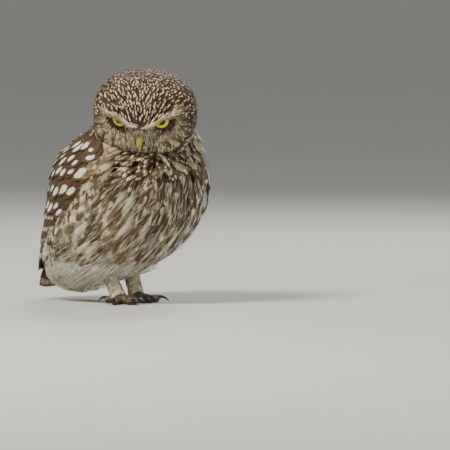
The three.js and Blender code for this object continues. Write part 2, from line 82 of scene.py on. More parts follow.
def unit(v):
    return v / np.maximum(np.linalg.norm(v, axis=-1, keepdims=True), 1e-9)


def power(v, n):
    return np.sign(v) * np.abs(v) ** (2 / n)


def section_curve(rows, samples=600):
    """Smooth curves through the columns of a table of sections, sampled evenly along its rows."""
    rows = np.asarray(rows, float)
    t = np.linspace(0, len(rows) - 1, samples)
    i = np.minimum(t.astype(int), len(rows) - 2)
    f = (t - i)[:, None]
    at = lambda k: rows[np.clip(k, 0, len(rows) - 1)]
    a, b, c, d = at(i - 1), at(i), at(i + 1), at(i + 2)
    return b + 0.5 * f * (c - a + f * (2 * a - 5 * b + 4 * c - d + f * (3 * (b - c) + d - a)))


def read_curve(curve, t):
    """The columns of a sampled curve at t from 0 to 1."""
    x = np.clip(t, 0, 1) * (len(curve) - 1)
    i = np.minimum(x.astype(int), len(curve) - 2)
    f = (x - i)[..., None]
    return curve[i] * (1 - f) + curve[i + 1] * f


# ---- trunk
TRUNK = section_curve([
    (9.5, 49, 49, 0),
    (12, 37, 64, 12),
    (19, 16, 74, 23),
    (30, -15, 79, 34),
    (45, -38, 77, 44),
    (62, -53, 72.5, 51.5),
    (80, -61.5, 68, 55.5),
    (98, -64, 63.5, 56.5),
    (114, -62.5, 57, 54.5),
    (128, -57, 46, 49.5),
    (139, -49, 33, 41),
    (147, -38, 16, 27),
    (151, -14, -14, 0),
])
TRUNK[:, 0] = np.maximum.accumulate(TRUNK[:, 0])
SQUARENESS = 2.45
WING = section_curve([
    (136, -51, 37, 44, 62, 88),
    (122, -60, 52, 52.5, 36, 95),
    (108, -63.5, 60.5, 56, 19, 91),
    (94, -63.3, 64.5, 56.7, 8.5, 87),
    (80, -61.3, 68.3, 55.5, 3.5, 79.5),
    (66, -55, 73, 52.3, 1, 69),
    (52, -45, 78.5, 47, 0.8, 58),
    (38, -30, 85, 38.5, 1, 48),
    (24, -6, 89.5, 29.5, 1.5, 34),
])
WING_DEPTH = 4.5


def wing_edges(z):
    rows = read_curve(WING, (136 - z) / (136 - 24))
    return rows[..., 4], rows[..., 5]


def under_wing(z, turn, margin=0.0):
    """1 where the folded wing covers the trunk, at height z and a turn in degrees from the middle of the back."""
    inner, outer = wing_edges(z)
    across = smooth(inner - 7 + margin, inner + margin, turn) * (1 - smooth(outer - margin, outer + 7 - margin, turn))
    return across * (1 - smooth(128, 138, z)) * smooth(18, 26, z)


def trunk_at(t, angle, cover=0.0):
    """Points of the trunk: level sections, each a rounded oval, drawn in under the lowered chin.

    cover from 0 to 1 fills the wings' beds and most of that hollow, for the feathers that lie over both.
    """
    z, front, back, half = np.moveaxis(read_curve(TRUNK, t), -1, 0)
    turn = np.degrees(angle)
    off = (turn - 230 + 180) % 360 - 180
    draw = 26 * (1 - 0.7 * cover) * smooth(98, 136, z) * bump(off, 55)
    side = np.abs((turn + 180) % 360 - 180)
    x = half * power(np.sin(angle), SQUARENESS) - draw * np.sin(angle)
    y = (front + back) / 2 + (back - front) / 2 * power(np.cos(angle), SQUARENESS) - draw * np.cos(angle)
    bed = WING_DEPTH * (1 - cover) * under_wing(z, side)
    return np.stack([x - bed * np.sin(angle), y - bed * np.cos(angle), z], -1)


def trunk_frame(t, angle, cover=0.0):
    """Points and outward normals of the trunk."""
    t = np.clip(t, 0.004, 0.996)
    e = 1.5e-3
    p = trunk_at(t, angle, cover)
    a = trunk_at(np.minimum(t + e, 0.999), angle, cover) - trunk_at(np.maximum(t - e, 0.001), angle, cover)
    b = trunk_at(t, angle + e, cover) - trunk_at(t, angle - e, cover)
    n = unit(np.cross(a, b))
    out = p - np.array([0, 8, 80.0])
    n = np.where((n * out).sum(-1, keepdims=True) < 0, -n, n)
    return p, n


def trunk_project(x, cover=0.0):
    """The trunk's points and normals nearest, at the same height, to points near it."""
    t = np.interp(x[..., 2], TRUNK[:, 0], np.linspace(0, 1, len(TRUNK)))
    z, front, back, half = np.moveaxis(read_curve(TRUNK, t), -1, 0)
    turn = np.arctan2(x[..., 0], x[..., 1] - (front + back) / 2)
    for _ in range(2):
        off = (np.degrees(turn) - 230 + 180) % 360 - 180
        draw = 26 * (1 - 0.7 * cover) * smooth(98, 136, z) * bump(off, 55)
        ax = (x[..., 0] + draw * np.sin(turn)) / np.maximum(half, 1)
        ay = (x[..., 1] + draw * np.cos(turn) - (front + back) / 2) / np.maximum((back - front) / 2, 1)
        turn = np.arctan2(np.sign(ax) * np.abs(ax) ** (SQUARENESS / 2), np.sign(ay) * np.abs(ay) ** (SQUARENESS / 2))
    return trunk_frame(t, turn, cover)


# ---- head
BROW_STAND = 6.2
BROW_RISE = 0.0


def head_at(way):
    """Points of the head in its own axes, one out along each direction from its centre."""
    n = 2.35
    tall = np.where(way[..., 1] > 0, 33.5, 31)
    deep = np.where(way[..., 2] > 0, 34, 37)
    r = ((np.abs(way[..., 0]) / 41.5) ** n + (np.abs(way[..., 1]) / tall) ** n + (np.abs(way[..., 2]) / deep) ** n) ** (-1 / n)
    p = way * r[..., None]
    face = smooth(4, 20, p[..., 2])
    x = np.abs(p[..., 0])
    y = p[..., 1]
    line = brow_line(x)
    to_eye = np.hypot(x - EYE_CENTRE[0], y - EYE_CENTRE[1])
    brow = BROW_STAND * bump(y - line - BROW_RISE, 3.2) * (1 - smooth(26, 38, x)) * smooth(-4, 9, x)
    bowl = -6.5 * bump(to_eye, 10.5) * (1 - smooth(-2, 3, y - line))
    bridge = 2.2 * bump(x, 4.5) * bump(y + 5, 9)
    rim = 1.4 * bump(np.hypot(x / 36, (y + 5) / 26) - 1, 0.09)
    p[..., 2] += face * (brow + bowl + bridge + rim)
    return p


def brow_line(x):
    return mix(1.2, 21.7, (np.hypot(x, 5) - 3) / 31) - 3.5 * smooth(16, 34, x) - 0.4


def head_frame(way):
    """Points and outward normals of the head in its own axes."""
    e = 0.01
    first = unit(np.cross(way, np.array([0.31, 0.2, 0.93])))
    second = np.cross(way, first)
    p = head_at(way)
    a = head_at(unit(way + e * first)) - p
    b = head_at(unit(way + e * second)) - p
    n = unit(np.cross(a, b))
    return p, np.where((n * way).sum(-1, keepdims=True) < 0, -n, n)


def head_project(x):
    """The head's points and normals, in the body's axes, below points near it."""
    p, n = head_frame(unit((x - HEAD_CENTRE) @ HEAD_AXES))
    return HEAD_CENTRE + p @ HEAD_AXES.T, n @ HEAD_AXES.T


# ---- mesh helpers
def new_object(name, mesh, material=None):
    obj = bpy.data.objects.new(name, mesh)
    bpy.context.scene.collection.objects.link(obj)
    if material:
        mesh.materials.append(material)
    return obj


def mesh_of(name, vertices, triangles, uvs=None, facts=None):
    """A smooth mesh from arrays, moved into the frame, with UV maps by corner and facts by point."""
    mesh = bpy.data.meshes.new(name)
    mesh.vertices.add(len(vertices))
    mesh.vertices.foreach_set("co", ((vertices + SHIFT) * MM).astype(np.float32).ravel())
    mesh.loops.add(triangles.size)
    mesh.loops.foreach_set("vertex_index", triangles.astype(np.int32).ravel())
    mesh.polygons.add(len(triangles))
    mesh.polygons.foreach_set("loop_start", np.arange(0, triangles.size, triangles.shape[1], dtype=np.int32))
    mesh.polygons.foreach_set("use_smooth", np.ones(len(triangles), bool))
    for key, uv in (uvs or {}).items():
        layer = mesh.uv_layers.new(name=key)
        layer.data.foreach_set("uv", uv[triangles.ravel()].astype(np.float32).ravel())
    for key, value in (facts or {}).items():
        if value.shape[-1] == 4:
            made = mesh.attributes.new(key, "FLOAT_COLOR", "POINT")
            made.data.foreach_set("color", value.astype(np.float32).ravel())
        else:
            made = mesh.attributes.new(key, "FLOAT_VECTOR", "POINT")
            made.data.foreach_set("vector", value.astype(np.float32).ravel())
    mesh.update()
    mesh.validate()
    return mesh


def grid_faces(rows, columns, wrap=False):
    """Quads of a grid of points stored row by row, closed round the columns if wrap."""
    i, j = np.meshgrid(np.arange(rows - 1), np.arange(columns if wrap else columns - 1), indexing="ij")
    k = (j + 1) % columns
    return np.stack([i * columns + j, i * columns + k, (i + 1) * columns + k, (i + 1) * columns + j], -1).reshape(-1, 4)


def colour(red, green, blue):
    """A linear colour with alpha from the 0 to 255 values that a screen shows."""
    c = np.array([red, green, blue]) / 255
    return np.append(np.where(c < 0.04045, c / 12.92, ((c + 0.055) / 1.055) ** 2.4), 1.0)


# ---- feather material
def calc(tree, kind, a, b=None, clamp=False):
    node = tree.nodes.new("ShaderNodeMath")
    node.operation = kind
    node.use_clamp = clamp
    for slot, value in zip(node.inputs, (a, b)):
        if value is None:
            continue
        if isinstance(value, (int, float)):
            slot.default_value = value
        else:
            tree.links.new(value, slot)
    return node.outputs[0]


def mix_colour(tree, factor, a, b, kind="MIX"):
    node = tree.nodes.new("ShaderNodeMix")
    node.data_type = "RGBA"
    node.blend_type = kind
    for slot, value in ((node.inputs["Factor"], factor), (node.inputs[6], a), (node.inputs[7], b)):
        if isinstance(value, (int, float)) or not hasattr(value, "node"):
            slot.default_value = value
        else:
            tree.links.new(value, slot)
    return node.outputs[2]


def noise(tree, vector, scale, detail=2.0):
    node = tree.nodes.new("ShaderNodeTexNoise")
    node.inputs["Scale"].default_value = scale
    node.inputs["Detail"].default_value = detail
    tree.links.new(vector, node.inputs["Vector"])
    return node.outputs["Fac"]


def attribute(tree, name):
    node = tree.nodes.new("ShaderNodeAttribute")
    node.attribute_name = name
    return node.outputs


def ramp(tree, value, low, high, start=0.0, end=1.0):
    node = tree.nodes.new("ShaderNodeMapRange")
    node.interpolation_type = "SMOOTHSTEP"
    node.inputs["From Min"].default_value = low
    node.inputs["From Max"].default_value = high
    node.inputs["To Min"].default_value = start
    node.inputs["To Max"].default_value = end
    tree.links.new(value, node.inputs["Value"])
    return node.outputs["Result"]


def feather_material(name, bars=0.0, streaky=0.8, soft_edge=0.45, root_down_and_shade=(0.05, 0.45, (0.05, 0.04, 0.03, 1)),
                     barb_light=0.16, pointed=0.0):
    """Feather: a ground colour with one soft-edged spot, read along and across each vane, and fine barbs.

    bars is how many pale bars cross the vane instead of the spot, and pointed how much the spot narrows
    towards the tip.
    """
    material = bpy.data.materials.new(name)
    material.use_nodes = True
    tree = material.node_tree
    shader = tree.nodes["Principled BSDF"]
    vane = tree.nodes.new("ShaderNodeUVMap")
    vane.uv_map = "vane"
    split = tree.nodes.new("ShaderNodeSeparateXYZ")
    tree.links.new(vane.outputs[0], split.inputs[0])
    along = split.outputs[0]
    across = calc(tree, "ABSOLUTE", calc(tree, "SUBTRACT", calc(tree, "MULTIPLY", split.outputs[1], 2.0), 1.0))
    place = tree.nodes.new("ShaderNodeTexCoord").outputs["Object"]
    broad = noise(tree, place, 90, 2)
    fine = noise(tree, place, 900, 2)
    wobble = calc(tree, "MULTIPLY", calc(tree, "SUBTRACT", fine, 0.5), 0.7)
    spot = tree.nodes.new("ShaderNodeSeparateXYZ")
    tree.links.new(attribute(tree, "spot")["Vector"], spot.inputs[0])
    length = calc(tree, "DIVIDE", calc(tree, "SUBTRACT", along, spot.outputs[0]), spot.outputs[1])
    taper = calc(tree, "SUBTRACT", 1.2, calc(tree, "MULTIPLY", length, pointed))
    width = calc(tree, "DIVIDE", across, calc(tree, "MULTIPLY", spot.outputs[2], calc(tree, "MAXIMUM", taper, 0.2)))
    barbs = tree.nodes.new("ShaderNodeCombineXYZ")
    slant = calc(tree, "SUBTRACT", along, calc(tree, "MULTIPLY", across, 0.3))
    tree.links.new(calc(tree, "MULTIPLY", slant, 34.0), barbs.inputs[0])
    tree.links.new(calc(tree, "MULTIPLY", across, 1.2), barbs.inputs[1])
    tree.links.new(calc(tree, "MULTIPLY", broad, 30.0), barbs.inputs[2])
    lines = noise(tree, barbs.outputs[0], 1.0, 2)
    wobble = calc(tree, "ADD", wobble, calc(tree, "MULTIPLY", calc(tree, "SUBTRACT", lines, 0.5), streaky))
    if bars:
        wave = calc(tree, "SINE", calc(tree, "MULTIPLY", along, bars * 2 * math.pi))
        inside = calc(tree, "SUBTRACT", wave, ramp(tree, across, 0.1, 0.5, 0.9, 0.25))
    else:
        round_ = calc(tree, "ADD", calc(tree, "POWER", length, 2.0), calc(tree, "POWER", width, 2.0))
        inside = calc(tree, "SUBTRACT", 1.0, round_)
    mask = ramp(tree, calc(tree, "ADD", inside, wobble), 0.0, soft_edge)
    base = mix_colour(tree, mask, attribute(tree, "ground")["Color"], attribute(tree, "mark")["Color"])
    # Darker towards each feather's root: partly the real grey-brown down at the base, partly painted shade for the
    # depth between overlapping feathers.
    base = mix_colour(tree, ramp(tree, along, root_down_and_shade[0], root_down_and_shade[1], 0.85, 0.0), base, tuple(root_down_and_shade[2]))
    light = calc(tree, "ADD", ramp(tree, lines, 0.3, 0.7, 1 - barb_light, 1 + 0.7 * barb_light),
                 ramp(tree, broad, 0.3, 0.7, -0.1, 0.1))
    shade = tree.nodes.new("ShaderNodeHueSaturation")
    tree.links.new(base, shade.inputs["Color"])
    tree.links.new(light, shade.inputs["Value"])
    tree.links.new(shade.outputs[0], shader.inputs["Base Color"])
    shader.inputs["Roughness"].default_value = 0.72
    shader.inputs["Specular IOR Level"].default_value = 0.25
    shader.inputs["Sheen Weight"].default_value = 0.12
    shader.inputs["Sheen Roughness"].default_value = 0.4
    relief = tree.nodes.new("ShaderNodeBump")
    relief.inputs["Strength"].default_value = 0.35
    relief.inputs["Distance"].default_value = 0.0004
    tree.links.new(lines, relief.inputs["Height"])
    tree.links.new(relief.outputs[0], shader.inputs["Normal"])
    return material


# ---- feather shapes
def outline(s, tip=0.45, root=0.4):
    """Half width of a vane as a share of its widest, from a narrow root to a rounded tip."""
    body = mix(root, 1, smooth(0, 0.5, s))
    return body * np.sqrt(np.clip(1 - np.clip((s - 1 + tip) / tip, 0, 1) ** 2, 0, 1))


def soft_vane(stations=7, barbs=12, core=0.62, tip=0.5):
    """Template of a loose feather: a middle vane with separate barbs standing off both its edges and its tip.

    Returns along, across, how loose each point is, and triangles.
    """
    s = np.linspace(0, 0.93, stations)
    q = np.array([-core, -core * 0.5, 0, core * 0.5, core])
    along = np.repeat(s, 5)
    across = (outline(s, tip)[:, None] * q).ravel()
    loose = np.zeros(len(along))
    quads = grid_faces(stations, 5)
    faces = [quads[:, :3], quads[:, [0, 2, 3]]]
    start = np.linspace(0.12, 0.9, barbs)
    step = start[1] - start[0]
    for side in (-1, 1):
        a = start
        b = start + step * 0.95
        end = np.minimum(start + 0.2, 1.06)
        wide = np.maximum(outline(np.minimum(start + 0.1, 0.97), tip), 0.25)
        points = np.stack([a, np.minimum(b, 0.95), end], 1)
        sides = np.stack([outline(a, tip) * core * 0.9, outline(np.minimum(b, 0.93), tip) * core * 0.9, wide * np.where(start > 0.8, 0.75, 1)], 1)
        base = len(along)
        along = np.append(along, points.ravel())
        across = np.append(across, side * sides.ravel())
        loose = np.append(loose, np.tile([0, 0, 1.0], barbs))
        faces.append(base + np.arange(3 * barbs).reshape(-1, 3))
    end = np.linspace(-1, 1, 7)
    base = len(along)
    points = np.stack([np.full(7, 0.86), np.full(7, 0.86), 1.08 - 0.1 * end ** 2], 1)
    sides = np.stack([end * 0.3 - 0.07, end * 0.3 + 0.07, end * 0.42], 1)
    along = np.append(along, points.ravel())
    across = np.append(across, sides.ravel())
    loose = np.append(loose, np.tile([0, 0, 1.0], 7))
    faces.append(base + np.arange(21).reshape(-1, 3))
    return along, across, loose, face_up(along, across, np.concatenate(faces))


def face_up(along, across, triangles):
    """The triangles, each turned so that it runs anticlockwise from along to across and looks outwards."""
    a, b, c = (np.stack([along[k], across[k]], -1) for k in triangles.T)
    area = np.cross(b - a, c - a)
    return np.where(area[:, None] < 0, triangles[:, ::-1], triangles)


def strand(stations=4):
    """Template of a bristle-like feather: a narrow leaf that ends in a point."""
    s = np.linspace(0, 1, stations)
    wide = np.sqrt(np.clip(1 - s, 0, 1)) * mix(0.6, 1, smooth(0, 0.4, s))
    wide[-1] = 0.06
    along = np.repeat(s, 2)
    across = (wide[:, None] * np.array([-1, 1.0])).ravel()
    quads = grid_faces(stations, 2)
    triangles = face_up(along, across, np.concatenate([quads[:, :3], quads[:, [0, 2, 3]]]))
    return along, across, np.repeat(smooth(0.5, 1, s), 2), triangles


def lay_feathers(name, template, roots, ways, project, length, width, sink, facts, home, material, lift=0.5,
                 curl=0.0, loose=0.12, arch=0.4, roll=None, proud=None):
    """Feathers lying on a surface, as meshes of under 200,000 triangles.

    roots and ways are where each grows and which way it lies, sink how deep its root and its tip lie below
    the outside of the plumage, facts its colours and spot, and home its place on the unwrap of the skin.
    """
    along, across, free, faces = template
    n = len(roots)
    length = np.broadcast_to(length, n)[:, None]
    width = np.broadcast_to(width, n)[:, None]
    p, normal = project(roots)
    ways = unit(ways - (ways * normal).sum(-1, keepdims=True) * normal)
    side = np.cross(normal, ways)
    shake = rng.normal(0, 1, (3, n, len(along))) * free * loose
    a = along * length * (1 + 0.6 * shake[0])
    b = (across * (1 + shake[1]) + 0.4 * shake[0] * free) * width / 2
    flat = p[:, None] + ways[:, None] * a[..., None] + side[:, None] * b[..., None]
    base, out = project(flat)
    root_sink, tip_sink = (np.broadcast_to(v, n)[:, None] for v in sink)
    depth = mix(root_sink, tip_sink, along ** 0.8) + curl * along ** 4 + arch * across ** 2
    height = -depth + lift * shake[2] * width * 0.25
    if roll is not None:
        height = height + roll[:, None] * across * smooth(0, 0.6, along)
    if proud is not None:
        height = height + proud[:, None]
    points = base + out * height[..., None]
    local = np.stack([along, across / 2 + 0.5], -1)
    bake = home[:, None] + (local - 0.5) * 0.003
    per = max(1, 190000 // len(faces))
    made = []
    for k, first in enumerate(range(0, n, per)):
        last = min(first + per, n)
        m = last - first
        count = len(along)
        tri = (np.arange(m)[:, None, None] * count + faces).reshape(-1, 3)
        data = {key: np.repeat(value[first:last], count, axis=0) for key, value in facts.items()}
        uvs = {"OFBake": bake[first:last].reshape(-1, 2), "vane": np.tile(local, (m, 1))}
        mesh = mesh_of(f"{name}_{k + 1}", points[first:last].reshape(-1, 3), tri, uvs, data)
        obj = new_object(f"{name}_{k + 1}", mesh, material)
        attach(obj, "root")
        made.append(obj)
    print(name, n, "feathers", n * len(faces), "triangles")
    return made


def marks(n, ground, mark, spot, vary=0.12):
    """Colours and spots of n feathers, the ground and mark a little lighter or darker from one to the next."""
    ground = np.array(np.broadcast_to(ground, (n, 4)), float)
    mark = np.array(np.broadcast_to(mark, (n, 4)), float)
    tone = 1 + rng.normal(0, vary, (n, 1))
    ground[:, :3] = np.clip(ground[:, :3] * tone, 0.004, 1)
    mark[:, :3] = np.clip(mark[:, :3] * (1 + rng.normal(0, vary * 0.6, (n, 1))), 0.004, 1)
    return {"ground": ground, "mark": mark, "spot": np.array(np.broadcast_to(spot, (n, 3)), float)}


def blend(a, b, t):
    return a + (b - a) * np.asarray(t)[..., None]


# ---- skin
def tube(path, radii, sides=20):
    """Points of a tube along a path, with a radius at every point, its ends drawn to a point."""
    way = unit(np.gradient(path, axis=0))
    first = unit(np.cross(way, np.array([0.2, 0.1, 1.0]) if abs(way[0, 2]) < 0.9 else np.array([1.0, 0.1, 0])))
    second = np.cross(way, first)
    turn = np.linspace(0, 2 * math.pi, sides, endpoint=False)
    ring = np.cos(turn)[None, :, None] * first[:, None] + np.sin(turn)[None, :, None] * second[:, None]
    return path[:, None] + ring * np.asarray(radii)[:, None, None]


def closed(rings):
    """Vertices and quads, as two joined arrays, of a surface of rings closed by caps of its end rings."""
    rows, sides = rings.shape[:2]
    vertices = np.concatenate([rings.reshape(-1, 3), rings[:1].mean(1), rings[-1:].mean(1)])
    quads = grid_faces(rows, sides, wrap=True)
    j = np.arange(sides)
    k = (j + 1) % sides
    first = np.full(sides, rows * sides)
    last = (rows - 1) * sides
    caps = [np.stack([j, first, k], 1), np.stack([last + j, last + k, first + 1], 1)]
    return vertices, outward(vertices, np.concatenate([quads[:, :3], quads[:, [0, 2, 3]], *caps]))


def outward(vertices, faces):
    """The faces of a closed surface, turned round if the volume that they enclose comes out negative."""
    corners = vertices[faces]
    volume = 0
    for k in range(1, faces.shape[1] - 1):
        volume += (corners[:, 0] * np.cross(corners[:, k], corners[:, k + 1])).sum()
    return faces if volume > 0 else faces[:, ::-1]


FEET = {"left": (1, -18, -1.5), "right": (-1, 16, 1.5)}
TOES = {"inner": (-24, 17, 3.1), "middle": (4, 20.5, 3.3), "outer": (52, 18, 3.1), "hind": (160, 15, 3.0)}


def foot_axes(side_name):
    """A foot's place and turn: the ankle's point over the floor, and the matrix of its axes."""
    sign, turn, ahead = FEET[side_name]
    a = math.radians(sign * turn)
    return np.array([sign * 12, -ahead, 0]), np.array([[math.cos(a), -math.sin(a), 0], [math.sin(a), math.cos(a), 0], [0, 0, 1]])


def toe_way(sign, turn):
    return np.array([sign * math.sin(math.radians(turn)), -math.cos(math.radians(turn)), 0])


def leg_path(t, sign):
    return np.stack([sign * 5 * t, 27 * t ** 0.9, mix(3, 46, t)], -1)


def leg_radius(t):
    return 5.6 + 5 * smooth(0.35, 0.9, t) + 0.7 * (1 - smooth(0, 0.2, t))


def toe_rings(sign, facts, shrink, steps=26, sides=18):
    turn, length, radius = facts
    t = (1 - np.cos(np.linspace(0, math.pi, steps))) / 2
    way = toe_way(sign, turn)
    centre = way * (length * t)[:, None]
    centre[:, 2] = mix(4.4, radius * 0.86, smooth(0, 0.7, t))
    ends = np.sqrt(1 - (1 - np.minimum(t / 0.25, 1)) ** 2) * np.sqrt(1 - (1 - np.minimum((1 - t) / 0.14, 1)) ** 2)
    size = (radius * (1.12 - 0.2 * t + 0.07 * np.cos(t * math.pi * 5)) - shrink) * np.maximum(ends, 0.02)
    rings = tube(centre, size, sides)
    rings[..., 2] = np.maximum(rings[..., 2], 0.02)
    return rings


def make_skin():
    """One closed skin over the trunk, head, legs and toes, inside the plumage, remeshed from its shapes."""
    parts = []
    t = (1 - np.cos(np.linspace(0, math.pi, 60))) / 2
    angle = np.linspace(0, 2 * math.pi, 96, endpoint=False)
    p, n = trunk_frame(np.repeat(t[1:-1, None], 96, 1), np.repeat(angle[None], 58, 0))
    parts.append(closed(p - 3.6 * n))
    tilt = np.linspace(0.02, math.pi - 0.02, 90)[:, None]
    turn = np.linspace(0, 2 * math.pi, 120, endpoint=False)[None]
    way = np.stack([np.sin(tilt) * np.sin(turn), np.sin(tilt) * np.cos(turn), np.cos(tilt) * np.ones_like(turn)], -1)
    p, n = head_frame(way)
    p = p - 1.8 * n
    parts.append(closed(HEAD_CENTRE + p @ HEAD_AXES.T))
    for name in FEET:
        sign = FEET[name][0]
        ankle, axes = foot_axes(name)
        t = np.linspace(0, 1, 24)
        parts.append(closed(ankle + tube(leg_path(t, sign), leg_radius(t) - 1.1) @ axes.T))
        t = np.linspace(0.03, 0.97, 12)
        pad = tube(np.stack([0 * t, 0 * t, mix(0.3, 8.4, t)], -1), 5.4 * np.sqrt(1 - (2 * t - 1) ** 4))
        parts.append(closed(ankle + pad @ axes.T))
        for facts in TOES.values():
            parts.append(closed(ankle + toe_rings(sign, facts, 0.25) @ axes.T))
    vertices, faces, base = [], [], 0
    for v, triangles in parts:
        vertices.append(v)
        faces.extend((triangles + base).tolist())
        base += len(v)
    mesh = bpy.data.meshes.new("skin")
    mesh.from_pydata(((np.concatenate(vertices) + SHIFT) * MM).tolist(), [], faces)
    obj = new_object("skin", mesh)
    bm_fix(mesh)
    remesh = obj.modifiers.new("Remesh", "REMESH")
    remesh.mode = "VOXEL"
    remesh.voxel_size = 0.0009
    bpy.context.view_layer.update()
    done = bpy.data.meshes.new_from_object(obj.evaluated_get(bpy.context.evaluated_depsgraph_get()))
    obj.modifiers.clear()
    obj.data = done
    done.polygons.foreach_set("use_smooth", np.ones(len(done.polygons), bool))
    return obj


def bm_fix(mesh):
    import bmesh
    bm = bmesh.new()
    bm.from_mesh(mesh)
    bmesh.ops.recalc_face_normals(bm, faces=bm.faces)
    bm.to_mesh(mesh)
    bm.free()


def plain_material(name, base, roughness, bump_scale=900, bump_size=0.0002, vary=0.2, specular=0.3):
    material = bpy.data.materials.new(name)
    material.use_nodes = True
    tree = material.node_tree
    shader = tree.nodes["Principled BSDF"]
    place = tree.nodes.new("ShaderNodeTexCoord").outputs["Object"]
    grain = noise(tree, place, bump_scale, 3)
    tint = ramp(tree, noise(tree, place, bump_scale / 6, 3), 0.3, 0.7, 1 - vary, 1 + vary)
    shade = tree.nodes.new("ShaderNodeHueSaturation")
    shade.inputs["Color"].default_value = base
    tree.links.new(tint, shade.inputs["Value"])
    tree.links.new(shade.outputs[0], shader.inputs["Base Color"])
    shader.inputs["Roughness"].default_value = roughness
    shader.inputs["Specular IOR Level"].default_value = specular
    relief = tree.nodes.new("ShaderNodeBump")
    relief.inputs["Strength"].default_value = 0.5
    relief.inputs["Distance"].default_value = bump_size
    tree.links.new(grain, relief.inputs["Height"])
    tree.links.new(relief.outputs[0], shader.inputs["Normal"])
    return material


skin = make_skin()
skin.data.materials.clear()
skin.data.materials.append(plain_material("skin_down", colour(74, 60, 46), 0.95))
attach(skin, "root")
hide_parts("torso", "head", "leg_left", "leg_right", "foot_left", "foot_right")
print("skin", len(skin.data.polygons))

# ---- trunk feathers
CREAM = colour(216, 204, 170)
WHITE = colour(226, 220, 202)
BROWN = colour(98, 77, 49)
DARK = colour(50, 37, 24)
BUFF = colour(156, 134, 98)
soft = feather_material("contour_feathers", streaky=1.7, soft_edge=0.6, pointed=0.55, root_down_and_shade=(0.1, 0.6, colour(86, 70, 54)), barb_light=0.2)


down = feather_material("down_feathers", streaky=1.0, soft_edge=0.9, root_down_and_shade=(0.0, 0.4, colour(176, 166, 146)), barb_light=0.12)


def waves(p, scale, seed):
    """A smooth field from -1 to 1 over points, a sum of a few slanted waves about scale mm long."""
    source = np.random.default_rng(seed)
    total = 0
    for _ in range(5):
        way = unit(source.normal(0, 1, 3))
        total = total + np.sin(p @ way * 2 * math.pi / (scale * source.uniform(0.7, 1.5)) + source.uniform(0, 6.28))
    return total / 2.6


def trunk_roots(spacing_z, spacing_across, jitter=0.2):
    """Roots of the trunk's feathers in staggered rows from the neck down to the vent: t and angle."""
    rows, turns = [], []
    fine = np.linspace(0, 1, 400)
    line, _ = trunk_frame(fine, np.full(400, math.radians(150)))
    arc = np.append(0, np.cumsum(np.linalg.norm(np.diff(line, axis=0), axis=1)))
    for k, length in enumerate(np.arange(3, arc[-1] - 2, spacing_z)):
        t = np.interp(length, arc, fine)
        ring = trunk_at(np.full(200, t), np.linspace(0, 2 * math.pi, 200))
        steps = np.append(0, np.cumsum(np.linalg.norm(np.diff(ring, axis=0), axis=1)))
        count = max(3, int(steps[-1] / spacing_across))
        at = (np.arange(count) + 0.5 * (k % 2) + rng.normal(0, jitter, count)) / count * steps[-1]
        turns.append(np.interp(at % steps[-1], steps, np.linspace(0, 2 * math.pi, 200)))
        rows.append(np.interp(length + rng.normal(0, jitter * spacing_z, count), arc, fine))
    return np.concatenate(rows), np.concatenate(turns)


def trunk_places(spacing_z, spacing_across, margin=9):
    """The trunk's feather roots that the wings and the head leave open, with what else is known of each."""
    t, angle = trunk_roots(spacing_z, spacing_across)
    turn = np.abs((np.degrees(angle) + 180) % 360 - 180)
    roots, normals = trunk_frame(t, angle)
    local = (roots - HEAD_CENTRE) @ HEAD_AXES
    inside = np.linalg.norm(local / np.array([36, 27, 31]), axis=1) < 1
    keep = (under_wing(roots[:, 2], turn, margin) < 0.5) & ~inside
    t, angle, turn, roots, normals, local = (v[keep] for v in (t, angle, turn, roots, normals, local))
    z = roots[:, 2]
    lying = 1 - smooth(50, 95, turn)
    left = smooth(-5, 30, roots[:, 0])
    sweep = mix(0.35, 1.5, 1 - smooth(50, 130, z)) * mix(0.6, 1.15, 1 - smooth(100, 175, turn)) + 0.8 * (1 - smooth(20, 55, z))
    sweep = sweep * mix(1, 0.3, left * smooth(50, 100, z))
    sweep = sweep * (1 - smooth(0.2, 0.8, lying)) + 0.05
    ways = np.stack([0.25 * waves(roots, 30, 5), sweep, -np.ones(len(t))], -1)
    home = np.stack([0.02 + 0.6 * angle / (2 * math.pi), 0.02 + 0.5 * t], -1)
    return roots, normals, ways, turn, home, local, lying


def share(n):
    """n random shares from 0 to 1."""
    return rng.random(n)


